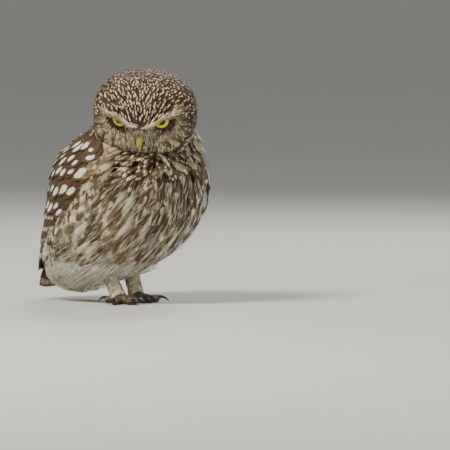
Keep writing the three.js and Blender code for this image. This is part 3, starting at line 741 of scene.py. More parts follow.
def plumage(roots, turn, local, lying):
    """Ground, mark, spot and how small each feather of the trunk is, from where it grows.

    Brown with pale drops below the throat, white with broad brown streaks over the breast, cream with loose
    brown blotches on the flanks, thin streaks low down, plain white at the vent, and brown on the back.
    """
    n = len(roots)
    z = roots[:, 2]
    reach = np.linalg.norm(local / np.array([1, 0.85, 1]), axis=1) + rng.normal(0, 2.5, n)
    front = 1 - smooth(0.3, 0.6, lying)
    collar = (1 - smooth(37, 45, reach)) * front
    mottled = (1 - smooth(48, 78, reach + 5 * waves(roots, 28, 9))) * front
    flank = (1 - smooth(-12, 14, roots[:, 0])) * (1 - smooth(135, 165, turn))
    low_down = 1 - smooth(24, 60, z)
    crisp = smooth(8, 34, roots[:, 0])
    ground = blend(CREAM, WHITE, np.clip(low_down + crisp + 0.4 * share(n), 0, 1))
    ground = blend(ground, BUFF, np.clip(0.35 * flank + 0.5 * mottled, 0, 1) * share(n))
    mark = blend(blend(BROWN, DARK, share(n) * mix(0.7, 1, crisp)), FAWN, flank * share(n) ** 2)
    spot = np.stack([mix(0.5, 0.7, share(n)), mix(0.26, 0.42, share(n)), mix(0.4, 1.1, share(n))], -1)
    spot[:, 2] = spot[:, 2] * mix(1, 0.45, low_down) * mix(1, 0.75, crisp)
    bare = share(n) < mix(0.12, 0.34, low_down) + 0.1 * flank
    bare |= (z < 38) & (turn < 140)
    mark[bare] = ground[bare]
    white_heart = (share(n) < 0.75 * crisp * smooth(50, 80, z)) & ~bare
    ground[white_heart], mark[white_heart] = mark[white_heart], ground[white_heart]
    spot[white_heart, 2] = mix(0.42, 0.62, share(white_heart.sum()))
    brownish = share(n) < mottled * 0.85
    count = brownish.sum()
    ground[brownish] = blend(BROWN, DARK, share(count) * 0.6)
    mark[brownish] = blend(CREAM, BUFF, share(count))
    spot[brownish] = np.stack([mix(0.82, 0.92, share(count)), mix(0.1, 0.2, share(count)), mix(0.25, 0.55, share(count))], -1)
    dark = collar > 0.5
    count = dark.sum()
    ground[dark] = blend(BROWN, DARK, share(count) * 0.7)
    mark[dark] = blend(CREAM, BUFF, share(count))
    spot[dark] = np.stack([mix(0.86, 0.95, share(count)), mix(0.05, 0.1, share(count)), mix(0.2, 0.4, share(count))], -1)
    mantle = (lying > 0.5) & (z > 42)
    count = mantle.sum()
    ground[mantle] = blend(BROWN, DARK, share(count) * 0.9)
    mark[mantle] = blend(WHITE, CREAM, share(count))
    spot[mantle] = np.stack([mix(0.78, 0.88, share(count)), mix(0.09, 0.14, share(count)), mix(0.35, 0.55, share(count))], -1)
    return ground, mark, spot, np.clip(collar + 0.45 * mottled, 0, 1), low_down, flank


FAWN = colour(126, 104, 70)
roots, normals, ways, turn, home, local, lying = trunk_places(9.4, 5.8)
n = len(roots)
ways = ways + rng.normal(0, 0.11, (n, 3))
ground, mark, spot, small, low_down, flank = plumage(roots, turn, local, lying)
mantle = (lying > 0.5) & (roots[:, 2] > 42)
length = mix(26, 33, share(n)) * mix(1, 0.62, small) * np.where(mantle, 0.66, 1)
width = mix(8.5, 11.5, share(n)) * mix(1, 0.75, small) * mix(1, 0.8, low_down)
loft = 1.2 * waves(roots, 24, 3) * (1 - small)
facts = marks(n, ground, mark, spot, 0.12)
tip_sink = mix(-1.3, 1.4, share(n))
proud = loft + 3.0 * smooth(0.45, 1, small)
roll = rng.normal(0, 1.1, n)
pale_down = (roots[:, 2] < mix(34, 46, share(n))) & (turn < 150)
for name, chosen, look in (("breast_feathers", ~pale_down, soft), ("vent_feathers", pale_down, down)):
    lay_feathers(name, soft_vane(9, 26, 0.55, 0.42), roots[chosen], ways[chosen], trunk_project, length[chosen],
                 width[chosen], (3.6, tip_sink[chosen]), {key: value[chosen] for key, value in facts.items()},
                 home[chosen], look, curl=0.8, loose=0.14, arch=1.7, roll=roll[chosen], proud=proud[chosen])

# Loose barbs that stand a little off the plumage and soften it.
roots, normals, ways, turn, home, local, lying = trunk_places(3.8, 4.0, 5)
keep = (lying < 0.6) | (roots[:, 2] < 40)
roots, normals, ways, turn, home, local, lying = (v[keep] for v in (roots, normals, ways, turn, home, local, lying))
n = len(roots)
ground, mark, spot, small, low_down, flank = plumage(roots, turn, local, lying)
streak = share(n) < 0.6
ground[streak] = mark[streak]
vent = low_down * (1 - smooth(90, 150, turn))
ways = ways + rng.normal(0, 0.22, (n, 3)) + 0.25 * normals * vent[:, None]
length = mix(7, 13, share(n)) * mix(1, 1.5, vent) * mix(1, 0.55, small)
lay_feathers("breast_wisps", strand(4), roots, ways, trunk_project, length, mix(0.4, 0.75, share(n)),
             (0.9, mix(-1.3, 0.6, share(n)) - 1.2 * vent), marks(n, ground, ground, (0.5, 0.1, 0.01), 0.1), home, soft,
             loose=0.2, arch=0, proud=1.2 * waves(roots, 24, 3) * (1 - small))

# Flank feathers that lie over the wing's lower edge.
count = 420
z = rng.uniform(44, 138, count)
inner, edge = wing_edges(z)
side = np.where(share(count) < 0.5, -1, 1)
high = smooth(104, 124, z)
turn = edge + mix(rng.uniform(3, 15, count), rng.uniform(0, 24, count), high)
t = np.interp(z, TRUNK[:, 0], np.linspace(0, 1, len(TRUNK)))
roots, normals = trunk_frame(t, side * np.radians(turn), 1.0)
local = (roots - HEAD_CENTRE) @ HEAD_AXES
keep = (np.linalg.norm(local / np.array([36, 27, 31]), axis=1) > 1) & (share(count) < mix(0.32, 1, high))
roots, local, z, side, high = (v[keep] for v in (roots, local, z, side, high))
n = len(roots)
ground, mark, spot, small, low_down, flank = plumage(roots, np.full(n, 100.0), local, np.zeros(n))
swapped = share(n) < mix(0.25, 0.4, high)
ground[swapped], mark[swapped] = mark[swapped], ground[swapped]
pale = high > 0.3
ground[pale] = blend(ground[pale], BUFF, 0.4 + 0.5 * share(pale.sum()))
mark[pale] = blend(mark[pale], BROWN, mix(0.5, 1, share(pale.sum())))
spot[pale, 1] *= 0.7
sweep = mix(mix(0.35, 0.9, 1 - smooth(60, 130, z)), 1.1, high)
ways = np.stack([0.1 * side, sweep, -np.ones(n)], -1) + rng.normal(0, 0.14, (n, 3))
home = np.stack([0.02 + 0.6 * share(n), np.full(n, 0.53)], -1)
lay_feathers("flank_feathers", soft_vane(9, 26, 0.55, 0.42), roots, ways, lambda x: trunk_project(x, 1.0),
             mix(19, 25, share(n)) * mix(1, 0.68, high), mix(8, 11, share(n)) * mix(1, 0.7, high),
             (2.6, mix(-3.0, -1.0, share(n))),
             marks(n, ground, mark, spot, 0.12), home, soft, curl=0.5, loose=0.16, arch=1.2, roll=rng.normal(0, 0.8, n))

# Small mottled feathers of the throat, dense and loose, where the breast meets the lowered chin.
roots, normals, ways, turn, home, local, lying = trunk_places(2.7, 3.0, 9)
reach = np.linalg.norm(local / np.array([1, 0.85, 1]), axis=1) + rng.normal(0, 2.5, len(roots))
keep = (reach < 56) & (lying < 0.6)
roots, ways, home, reach = (v[keep] for v in (roots, ways, home, reach))
n = len(roots)
ways = ways + rng.normal(0, 0.3, (n, 3))
chance = share(n)
ground = blend(BROWN, DARK, 0.7 * share(n) ** 1.4)
pale = chance < 0.3
ground[pale] = blend(CREAM, BUFF, share(pale.sum()))
mark = blend(BUFF, CREAM, share(n) ** 1.6)
spot = np.stack([mix(0.78, 0.95, share(n)), mix(0.1, 0.26, share(n)), mix(0.15, 0.42, share(n))], -1)
lay_feathers("throat_feathers", soft_vane(5, 14, 0.5, 0.45), roots, ways, trunk_project, mix(8, 12, share(n)),
             mix(3.4, 5.2, share(n)), (0.5, mix(-1.6, 0.6, share(n))), marks(n, ground, mark, spot, 0.14), home, soft,
             loose=0.2, arch=0.7, proud=4.6 * (1 - smooth(40, 56, reach)))

# Long white down below the vent and between the legs.
roots, normals, ways, turn, home, local, lying = trunk_places(1.9, 2.6, 5)
keep = (roots[:, 2] < 34) & (share(len(roots)) < 0.9)
roots, normals, ways, home = (v[keep] for v in (roots, normals, ways, home))
n = len(roots)
ways = ways + rng.normal(0, 0.35, (n, 3)) + 0.6 * normals
lay_feathers("vent_down", strand(5), roots, ways, trunk_project, mix(9, 17, share(n)), mix(0.6, 1.0, share(n)),
             (1.5, mix(-3.6, 0.3, share(n))), marks(n, blend(CREAM, colour(240, 237, 228), share(n)), WHITE, (0.5, 0.1, 0.01), 0.06),
             home, down, loose=0.25, arch=0)

# ---- crown and face
crown_look = feather_material("crown_feathers", streaky=0.5, root_down_and_shade=(0.0, 0.35, colour(60, 46, 34)))


def sphere_rows(spacing):
    """Directions from the head's centre in staggered rows about spacing mm apart on a ball of 37 mm."""
    step = spacing / 37
    ways = []
    for k, tilt in enumerate(np.arange(step / 2, math.pi, step)):
        count = max(1, int(2 * math.pi * math.sin(tilt) / step))
        turn = (np.arange(count) + 0.5 * (k % 2)) / count * 2 * math.pi + rng.normal(0, 0.12 / count, count)
        lean = tilt + rng.normal(0, 0.12 * step, count)
        ways.append(np.stack([np.sin(lean) * np.sin(turn), np.sin(lean) * np.cos(turn), np.cos(lean)], -1))
    return np.concatenate(ways)


def head_facts(way):
    p, n = head_frame(way)
    x = np.abs(p[:, 0])
    above = p[:, 1] - brow_line(x)
    rim = np.hypot(p[:, 0] / 36, (p[:, 1] + 5) / 26)
    to_eye = np.hypot(x - EYE_CENTRE[0], p[:, 1] - EYE_CENTRE[1])
    return p, n, x, above, rim, to_eye


way = sphere_rows(2.55)
p, nrm, x, above, rim, to_eye = head_facts(way)
facing = p[:, 2] > 6
crown = (above > 1.2) | ~facing | (rim > 1.0)
crown &= ~((p[:, 1] < -24) & (p[:, 2] < 4))
p, nrm, x, above, rim = (v[crown] for v in (p, nrm, x, above, rim))
n = len(p)
fan = np.stack([p[:, 0] / 22, np.ones(n), -0.5 * np.ones(n)], -1)
over = np.stack([p[:, 0] / 60, mix(-1.2, 0.4, smooth(-25, 8, p[:, 2])), -np.ones(n)], -1)
lie = blend(fan, over, 1 - smooth(2, 26, p[:, 2]))
cheek = np.stack([p[:, 0] / 60, np.full(n, -0.8), np.full(n, -0.7)], -1)
lie = blend(cheek, lie, smooth(-9, 9, p[:, 1]))
lie = unit(lie) + rng.normal(0, 0.13, (n, 3))
forehead = smooth(8, 26, p[:, 2]) * smooth(0, 8, p[:, 1])
length = mix(8.5, 7.5, forehead) * (1 + rng.normal(0, 0.08, n))
width = mix(5.2, 3.6, forehead)
ground = blend(colour(80, 58, 38), colour(44, 31, 21), rng.random(n))
mark = blend(colour(222, 204, 168), colour(178, 148, 106), rng.random(n) ** 1.3)
size = mix(0.55, 1.12, rng.random(n))
spot = np.stack([rng.normal(0.78, 0.05, n), mix(0.1, 0.34, forehead) * size, mix(0.36, 0.3, forehead) * size], -1)
nape = bump(np.hypot(x - 13, p[:, 1] + 3) - 8, 3.5) * (1 - smooth(-26, -12, p[:, 2]))
spot[:, 1:] *= (1 + 0.9 * nape)[:, None]
mark = blend(mark, colour(236, 226, 202), nape)
under = (p[:, 1] < -16)
ground[under] = blend(colour(84, 62, 42), colour(60, 44, 30), rng.random(under.sum()))
turn_h = np.arctan2(p[:, 0], p[:, 1])
home = np.stack([0.66 + 0.3 * (turn_h / (2 * math.pi) + 0.5), 0.02 + 0.45 * np.arccos(np.clip(unit(p)[:, 2], -1, 1)) / math.pi], -1)
lay_feathers("crown_feathers", soft_vane(5, 6, 0.7, 0.5), HEAD_CENTRE + p @ HEAD_AXES.T, lie @ HEAD_AXES.T, head_project,
             length, width, (1.9, mix(-0.9, -0.2, rng.random(n))), marks(n, ground, mark, spot), home, crown_look,
             lift=0.2, loose=0.12, arch=0.25, curl=1.2)

# facial disc
way = sphere_rows(1.35)
p, nrm, x, above, rim, to_eye = head_facts(way)
disc = (p[:, 2] > 6) & (above < 3.4) & (rim < 1.06) & (to_eye > 6.2)
disc &= ~((x < 3.2) & (p[:, 1] < 0) & (p[:, 1] > -15))
p, nrm, x, above, rim, to_eye = (v[disc] for v in (p, nrm, x, above, rim, to_eye))
n = len(p)
sign = np.sign(p[:, 0])
radial = np.stack([sign * (x - EYE_CENTRE[0]), p[:, 1] - EYE_CENTRE[1], 0 * x], -1)
radial = unit(radial)
along_brow = np.stack([sign * np.ones(n), 0.62 * np.ones(n), 0.25 * np.ones(n)], -1)
brow = smooth(-1.5, 1.0, above)
whisker = bump(x - 5, 4) * bump(p[:, 1] + 6, 7)
lie = blend(radial, unit(along_brow), brow)
lie = blend(lie, np.stack([sign * 0.35, -np.ones(n), 0.3 * np.ones(n)], -1), np.clip(whisker * 1.3, 0, 1))
length = mix(5.0, 8.5, smooth(8, 24, to_eye)) * mix(0.5, 1, smooth(6.2, 7.0, to_eye)) * (1 + rng.normal(0, 0.15, n)) + 1.5 * brow
lie = unit(lie) + rng.normal(0, 0.1, (n, 3))
grey = blend(colour(214, 200, 160), colour(112, 91, 63), rng.random(n) ** 1.4)
pale = blend(colour(220, 208, 180), colour(150, 128, 98), rng.random(n) ** 2)
ground = blend(grey, pale, brow)
ground = blend(ground, colour(80, 62, 46), np.clip(bump(to_eye - 7, 2.0) * 0.3, 0, 1) * (1 - brow))
lore = bump(x - 7.5, 2.8) * bump(p[:, 1] + 1.5, 5.0) * (1 - brow)
ground = blend(ground, colour(70, 54, 40), np.clip(lore * 1.2, 0, 1) * rng.random(n) ** 0.4)
ground = blend(ground, colour(224, 212, 182), smooth(-15, -22, p[:, 1]) if False else 1 - smooth(-24, -15, p[:, 1]))
band = bump(rim - 0.82, 0.12) * (1 - brow)
ground = blend(ground, colour(220, 208, 170), band * 0.6 * rng.random(n))
edge = smooth(0.9, 1.0, rim) * (1 - brow)
ground = blend(ground, colour(84, 62, 42), edge * 0.85 * rng.random(n) ** 0.4)
stripe = smooth(0.2, 0.7, np.sin(np.arctan2(radial[:, 1], np.abs(radial[:, 0])) * 13 + 1.6 * waves(p, 9, 4)))
ground = blend(ground, colour(78, 60, 42), stripe * 0.95 * smooth(9, 15, to_eye) * (1 - brow) * smooth(-24, -17, p[:, 1]))
mark = blend(colour(108, 88, 66), ground, brow)
ground = blend(ground, colour(20, 17, 15), 1 - smooth(6.4, 7.0, to_eye))
barred = rng.random(n) < 0.45
mark[~barred] = ground[~barred]
spot = np.stack([rng.normal(0.75, 0.06, n), np.full(n, 0.16), np.full(n, 1.2)], -1)
turn_h = np.arctan2(p[:, 0], p[:, 1])
home = np.stack([0.66 + 0.3 * (turn_h / (2 * math.pi) + 0.5), 0.02 + 0.45 * np.arccos(np.clip(unit(p)[:, 2], -1, 1)) / math.pi], -1)
lay_feathers("face_feathers", strand(4), HEAD_CENTRE + p @ HEAD_AXES.T, lie @ HEAD_AXES.T, head_project, length, 1.5,
             (1.7, mix(-0.5, 0.3, rng.random(n))), marks(n, ground, mark, spot, 0.1), home, crown_look, loose=0.1, arch=0.1)

# Brow: long pale feathers that sweep out and up from the bill and overhang the eye.
count = 620
bx = rng.uniform(3.6, 31, count)
bs = np.where(rng.random(count) < 0.5, -1, 1)
by = brow_line(bx) + rng.uniform(-0.5, 2.5, count)
guess = unit(np.stack([bs * bx, by, np.full(count, 33.0) - 6 * smooth(15, 34, bx)], -1))
for _ in range(6):
    p, _ = head_frame(guess)
    guess = unit(guess + np.stack([bs * bx - p[:, 0], by - p[:, 1], 0 * bx], -1) / 36)
p, nrm = head_frame(guess)
n = count
lie = np.stack([bs, mix(0.1, 0.5, smooth(4, 10, bx)), -0.1 * np.ones(n)], -1) + rng.normal(0, 0.14, (n, 3))
ground = blend(colour(228, 216, 180), colour(148, 126, 92), rng.random(n) ** 1.3)
ground = blend(ground, colour(104, 80, 56), (0.35 + 0.65 * smooth(20, 31, bx)) * rng.random(n) ** 2)
home = np.stack([0.66 + 0.3 * rng.random(n), 0.5 + 0.04 * rng.random(n)], -1)
lay_feathers("brow_feathers", strand(5), HEAD_CENTRE + p @ HEAD_AXES.T, lie @ HEAD_AXES.T, head_project,
             mix(6.5, 10.0, rng.random(n)), mix(0.7, 1.3, rng.random(n)), (0.6, mix(-2.2, 0.0, rng.random(n))),
             marks(n, ground, ground, (0.5, 0.1, 0.01), 0.08), home, crown_look, arch=0.1)

# Bristles that grow down over the base of the bill from both sides, and the pale moustache beside it.
count = 560
sides = np.where(share(count) < 0.5, -1, 1)
inner = share(count) < 0.4
gx = sides * np.where(inner, rng.uniform(0.2, 3.6, count), rng.uniform(4.2, 8.5, count))
gy = np.where(inner, rng.uniform(-0.2, 3.8, count), rng.uniform(-9, 2.6, count))
guess = unit(np.stack([gx, gy, np.full(count, 34.0)], -1))
for _ in range(6):
    p, _ = head_frame(guess)
    guess = unit(guess + np.stack([gx - p[:, 0], gy - p[:, 1], 0 * gx], -1) / 36)
p, nrm = head_frame(guess)
n = count
lie = np.stack([np.where(inner, 0.5, 0.3) * sides, -np.ones(n), 0.3 * np.ones(n)], -1) + rng.normal(0, 0.15, (n, 3))
ground = blend(colour(206, 194, 160), colour(70, 56, 42), share(n) ** np.where(inner, 0.6, 1.2))
home = np.stack([0.66 + 0.3 * share(n), 0.5 + 0.02 * share(n)], -1)
lay_feathers("bill_bristles", strand(5), HEAD_CENTRE + p @ HEAD_AXES.T, lie @ HEAD_AXES.T, head_project,
             np.where(inner, mix(2.8, 5.0, share(n)), mix(4.5, 8.0, share(n))), mix(0.4, 0.8, share(n)),
             (0.4, np.where(inner, mix(-4.6, -2.4, share(n)), mix(-2.0, 0, share(n)))),
             marks(n, ground, ground, (0.5, 0.1, 0.01), 0.08), home, crown_look, arch=0.1, loose=0.12)

# Ruff: stiff feathers round the lower edge of the face, dark with pale tips, that bridge down to the neck.
def ruff_project(x):
    """Points a little off the head's surface, straighter than it, so the ruff stands over the neck."""
    p, normal = head_project(x)
    return mix(x, p, 0.45), normal


count = 460
a = np.radians(rng.uniform(-172, -8, count))
ring = rng.uniform(0.9, 1.12, count)
gx, gy = 36 * ring * np.cos(a), 26 * ring * np.sin(a) - 5
guess = unit(np.stack([gx, gy, np.full(count, 16.0)], -1))
for _ in range(8):
    p, _ = head_frame(guess)
    guess = unit(guess + np.stack([gx - p[:, 0], gy - p[:, 1], 0 * gx], -1) / 36)
p, nrm = head_frame(guess)
n = count
low = smooth(0.2, 0.8, -np.sin(a))
lie = unit(np.stack([gx / 36, (gy + 5) / 26 - 0.5, 0 * gx], -1)) + np.array([0, 0, -0.25]) + rng.normal(0, 0.1, (n, 3))
ground = blend(colour(84, 62, 41), colour(46, 33, 22), rng.random(n))
mark = blend(colour(216, 202, 170), colour(150, 122, 88), rng.random(n))
home = np.stack([0.66 + 0.3 * rng.random(n), 0.44 + 0.04 * rng.random(n)], -1)
lay_feathers("ruff_feathers", soft_vane(5, 10, 0.6, 0.5), HEAD_CENTRE + p @ HEAD_AXES.T, lie @ HEAD_AXES.T, ruff_project,
             mix(6.5, mix(8, 12, low), rng.random(n)), mix(2.6, 4.2, rng.random(n)), (1.2, mix(mix(-0.8, -2.5, low), 0.4, rng.random(n))),
             marks(n, ground, mark, (0.84, 0.12, 0.4), 0.12), home, crown_look, arch=0.5, loose=0.2)

# ---- wings
flight = feather_material("flight_feathers", bars=4.5)
covert = feather_material("covert_feathers", streaky=0.6, root_down_and_shade=(0.0, 0.7, colour(54, 39, 26)), barb_light=0.42)


def wing_at(side, u, v, sink):
    """Points of the folded wing, sink under its outer surface: u from the shoulder to the tip, v from the back
    to the flank."""
    def skin_at(a, b):
        z, front, back, half, inner, outer = np.moveaxis(read_curve(WING, a), -1, 0)
        turn = np.radians(mix(inner, outer, b))
        return np.stack([half * power(np.sin(turn), SQUARENESS),
                         (front + back) / 2 + (back - front) / 2 * power(np.cos(turn), SQUARENESS), z], -1)
    e = 2e-3
    a = np.clip(u, 0.01, 0.99)
    b = np.clip(v, 0.02, 0.98)
    n = unit(np.cross(skin_at(a + e, b) - skin_at(a - e, b), skin_at(a, b + e) - skin_at(a, b - e)))
    n = np.where(n[..., :1] < 0, -n, n)
    p = skin_at(u, np.clip(v, 0, 1)) - n * np.asarray(sink)[..., None]
    over = np.clip(v, None, 0) + np.clip(v - 1, 0, None)
    step = skin_at(a, b + e) - skin_at(a, b - e)
    p = p + step / (2 * e) * over[..., None]
    p[..., 0] *= side
    return p


def wing_width(u):
    v = np.linspace(0, 1, 12)
    p = wing_at(1, np.repeat(np.atleast_1d(u)[:, None], 12, 1), np.repeat(v[None], len(np.atleast_1d(u)), 0), np.zeros((len(np.atleast_1d(u)), 12)))
    return np.linalg.norm(np.diff(p, axis=1), axis=2).sum(1)


WIDTH_TABLE = wing_width(np.linspace(0, 1, 60))


def firm_vane(rows=12, columns=7, thickness=0.28, tip=0.3, root=0.55):
    """Template of a smooth closed vane: along, across, side of the sheet and quads."""
    s = 1 - (1 - np.linspace(0, 1, rows)) ** 1.5
    q = np.linspace(-1, 1, columns)
    along = np.repeat(s, columns)
    wide = np.maximum(outline(s, tip, root), 0.05)
    across = (wide[:, None] * q).ravel()
    quads = grid_faces(rows, columns)
    count = rows * columns
    rim = np.concatenate([np.arange(columns), np.arange(1, rows) * columns + columns - 1,
                          (rows - 1) * columns + np.arange(columns - 2, -1, -1), np.arange(rows - 2, 0, -1) * columns])
    following = np.roll(rim, -1)
    wall = np.stack([rim, following, following + count, rim + count], 1)
    faces = np.concatenate([quads, quads[:, ::-1] + count, wall[:, ::-1]])
    return np.tile(along, 2), np.tile(across, 2), np.repeat([0.0, 1.0], count), faces, thickness, rows, columns


def firm_feathers(name, place, rows_of, material, node):
    """Smooth vanes as one closed mesh each, joined. place(feather facts, along, across mm, sink) gives points."""
    along, across, under, faces, thickness, _, _ = firm_vane()
    points, tris, ground, mark, spot, home = [], [], [], [], [], []
    for k, facts in enumerate(rows_of):
        depth = mix(facts["root_sink"], facts["tip_sink"], smooth(0, 1, along)) - 0.35 * across * facts.get("tilt", 1)
        depth = depth + 0.5 * across ** 2 + under * mix(thickness * 1.5, thickness, along)
        points.append(place(facts, along, across * facts["width"] / 2, depth))
        tris.append(faces + k * len(along))
        ground.append(np.repeat(facts["ground"][None], len(along), 0))
        mark.append(np.repeat(facts["mark"][None], len(along), 0))
        spot.append(np.repeat(np.array(facts["spot"], float)[None], len(along), 0))
        home.append(np.repeat(np.array(facts["home"])[None], len(along), 0))
    local = np.stack([along, across / 2 + 0.5], -1)
    uvs = {"OFBake": np.concatenate(home) + (np.tile(local, (len(rows_of), 1)) - 0.5) * 0.003,
           "vane": np.tile(local, (len(rows_of), 1))}
    points = np.concatenate(points)
    mesh = mesh_of(name, points, outward(points, np.concatenate(tris)), uvs,
                   {"ground": np.concatenate(ground), "mark": np.concatenate(mark), "spot": np.concatenate(spot)})
    obj = new_object(name, mesh, material)
    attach(obj, "root")
    print(name, len(rows_of), len(mesh.polygons))
    return obj


def wing_place(side):
    def place(facts, along, across, depth):
        u = mix(facts["from_u"], facts["to_u"], along)
        middle = mix(facts["from_v"], facts["to_v"], along)
        wide = np.interp(u, np.linspace(0, 1, 60), WIDTH_TABLE)
        return wing_at(side, u, middle + across / wide, depth)
    return place


def tier(side, count, from_u, to_u, from_v, to_v, width, root_sink=3.0, tip_sink=0.5, **look):
    rows = []
    for k in range(count):
        f = k / max(count - 1, 1)
        v = mix(from_v, to_v, f)
        shade = 1 + rng.normal(0, 0.08)
        base = look["ground"].copy()
        base[:3] *= shade
        j = rng.normal(0, 0.008)
        spot = np.array(look["spot"]) * np.array([1, 1, 1]) * np.array([rng.uniform(0.97, 1.03), *([rng.uniform(0.5, 1.25)] * 2)])
        rows.append({"from_u": from_u + j, "to_u": to_u + j + look.get("stagger", 0) * (k % 2), "from_v": v,
                     "to_v": v + look.get("drift", 0), "width": width, "root_sink": root_sink,
                     "tip_sink": tip_sink + 0.1 * (k % 2), "ground": base, "mark": look["mark"], "spot": spot,
                     "home": (0.66 + 0.14 * v + (0.16 if side > 0 else 0), 0.55 + 0.4 * from_u)})
    return rows


WING_BROWN = colour(80, 58, 35)
WING_DARK = colour(66, 48, 34)
for side_name, side in (("left", 1), ("right", -1)):
    place = wing_place(side)
    primaries = tier(side, 7, 0.55, 1.0, 0.2, 0.9, 9, 3.2, 1.1, ground=WING_DARK, mark=colour(196, 176, 140), spot=(0.5, 0.5, 0.5))
    secondaries = tier(side, 9, 0.4, 0.8, 0.1, 0.95, 12, 3.0, 0.9, ground=WING_DARK, mark=colour(196, 176, 140), spot=(0.5, 0.5, 0.5))
    firm_feathers("flight_" + side_name, place, primaries + secondaries, flight, None)
    spotted = dict(ground=WING_BROWN, mark=WHITE)
    rows = tier(side, 9, 0.28, 0.6, 0.06, 0.97, 13, 2.8, 0.6, spot=(0.82, 0.1, 0.5), stagger=-0.03, **spotted)
    rows += tier(side, 9, 0.18, 0.46, 0.08, 0.96, 13, 2.6, 0.45, spot=(0.78, 0.13, 0.55), stagger=-0.02, **spotted)
    rows += tier(side, 9, 0.1, 0.34, 0.08, 0.96, 12.5, 2.4, 0.3, spot=(0.76, 0.15, 0.5), stagger=-0.03, **spotted)
    rows += tier(side, 8, 0.03, 0.24, 0.1, 0.95, 12, 2.2, 0.2, spot=(0.76, 0.16, 0.45), stagger=-0.03, **spotted)
    rows += tier(side, 7, -0.02, 0.15, 0.15, 0.92, 11, 2.0, 0.1, spot=(0.76, 0.16, 0.45), stagger=-0.03, **spotted)
    obj = firm_feathers("coverts_" + side_name, place, rows, covert, None)
    u = np.linspace(0, 0.97, 30)[:, None]
    v = np.linspace(0, 1, 14)[None]
    ones = np.ones((30, 14))
    top = wing_at(side, u * ones, v * ones, 2.4 * ones)
    bottom = wing_at(side, u * ones, v * ones, 4.4 * ones - 1.0 * u)
    loop = np.concatenate([top, bottom[:, ::-1]], 1)
    vertices, quads = closed(loop)
    core = new_object("wing_core_" + side_name, mesh_of("wing_core_" + side_name, vertices, quads), None)
    core.data.materials.append(plain_material("wing_core_" + side_name, colour(70, 52, 36), 0.9))
    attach(core, "root")
    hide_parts("wing_" + side_name)

# ---- tail
TAIL_ROOT = np.array([0, 60, 78.0])
TAIL_TIP = np.array([0, 86, 9.0])


def tail_place(facts, along, across, depth):
    u = mix(facts["from_u"], facts["to_u"], along)
    line = TAIL_TIP - TAIL_ROOT
    out = np.array([0, -line[2], line[1]]) / np.linalg.norm(line)
    half = mix(9, 18, smooth(0, 1, u))
    edge = facts["edge"] + across / half
    p = TAIL_ROOT + line * (u * (1 - 0.07 * edge ** 2))[:, None] + out * (1.2 - depth - 2.4 * edge ** 2)[:, None]
    p[:, 0] = half * edge
    return p


tail_rows = []
for k in range(12):
    edge = mix(-0.78, 0.78, k / 11)
    tail_rows.append({"from_u": 0.05, "to_u": 1.0, "edge": edge, "width": 10.5, "root_sink": 1.2 + abs(edge) * 0.6,
                      "tip_sink": 0.3 + abs(edge) * 0.9, "ground": colour(96, 76, 56), "mark": colour(200, 184, 152),
                      "tilt": -np.sign(edge), "spot": (0.5, 0.5, 0.5), "home": (0.04 + 0.05 * k, 0.7)})
obj = firm_feathers("tail_feathers", tail_place, tail_rows, flight, None)
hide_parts("tail")

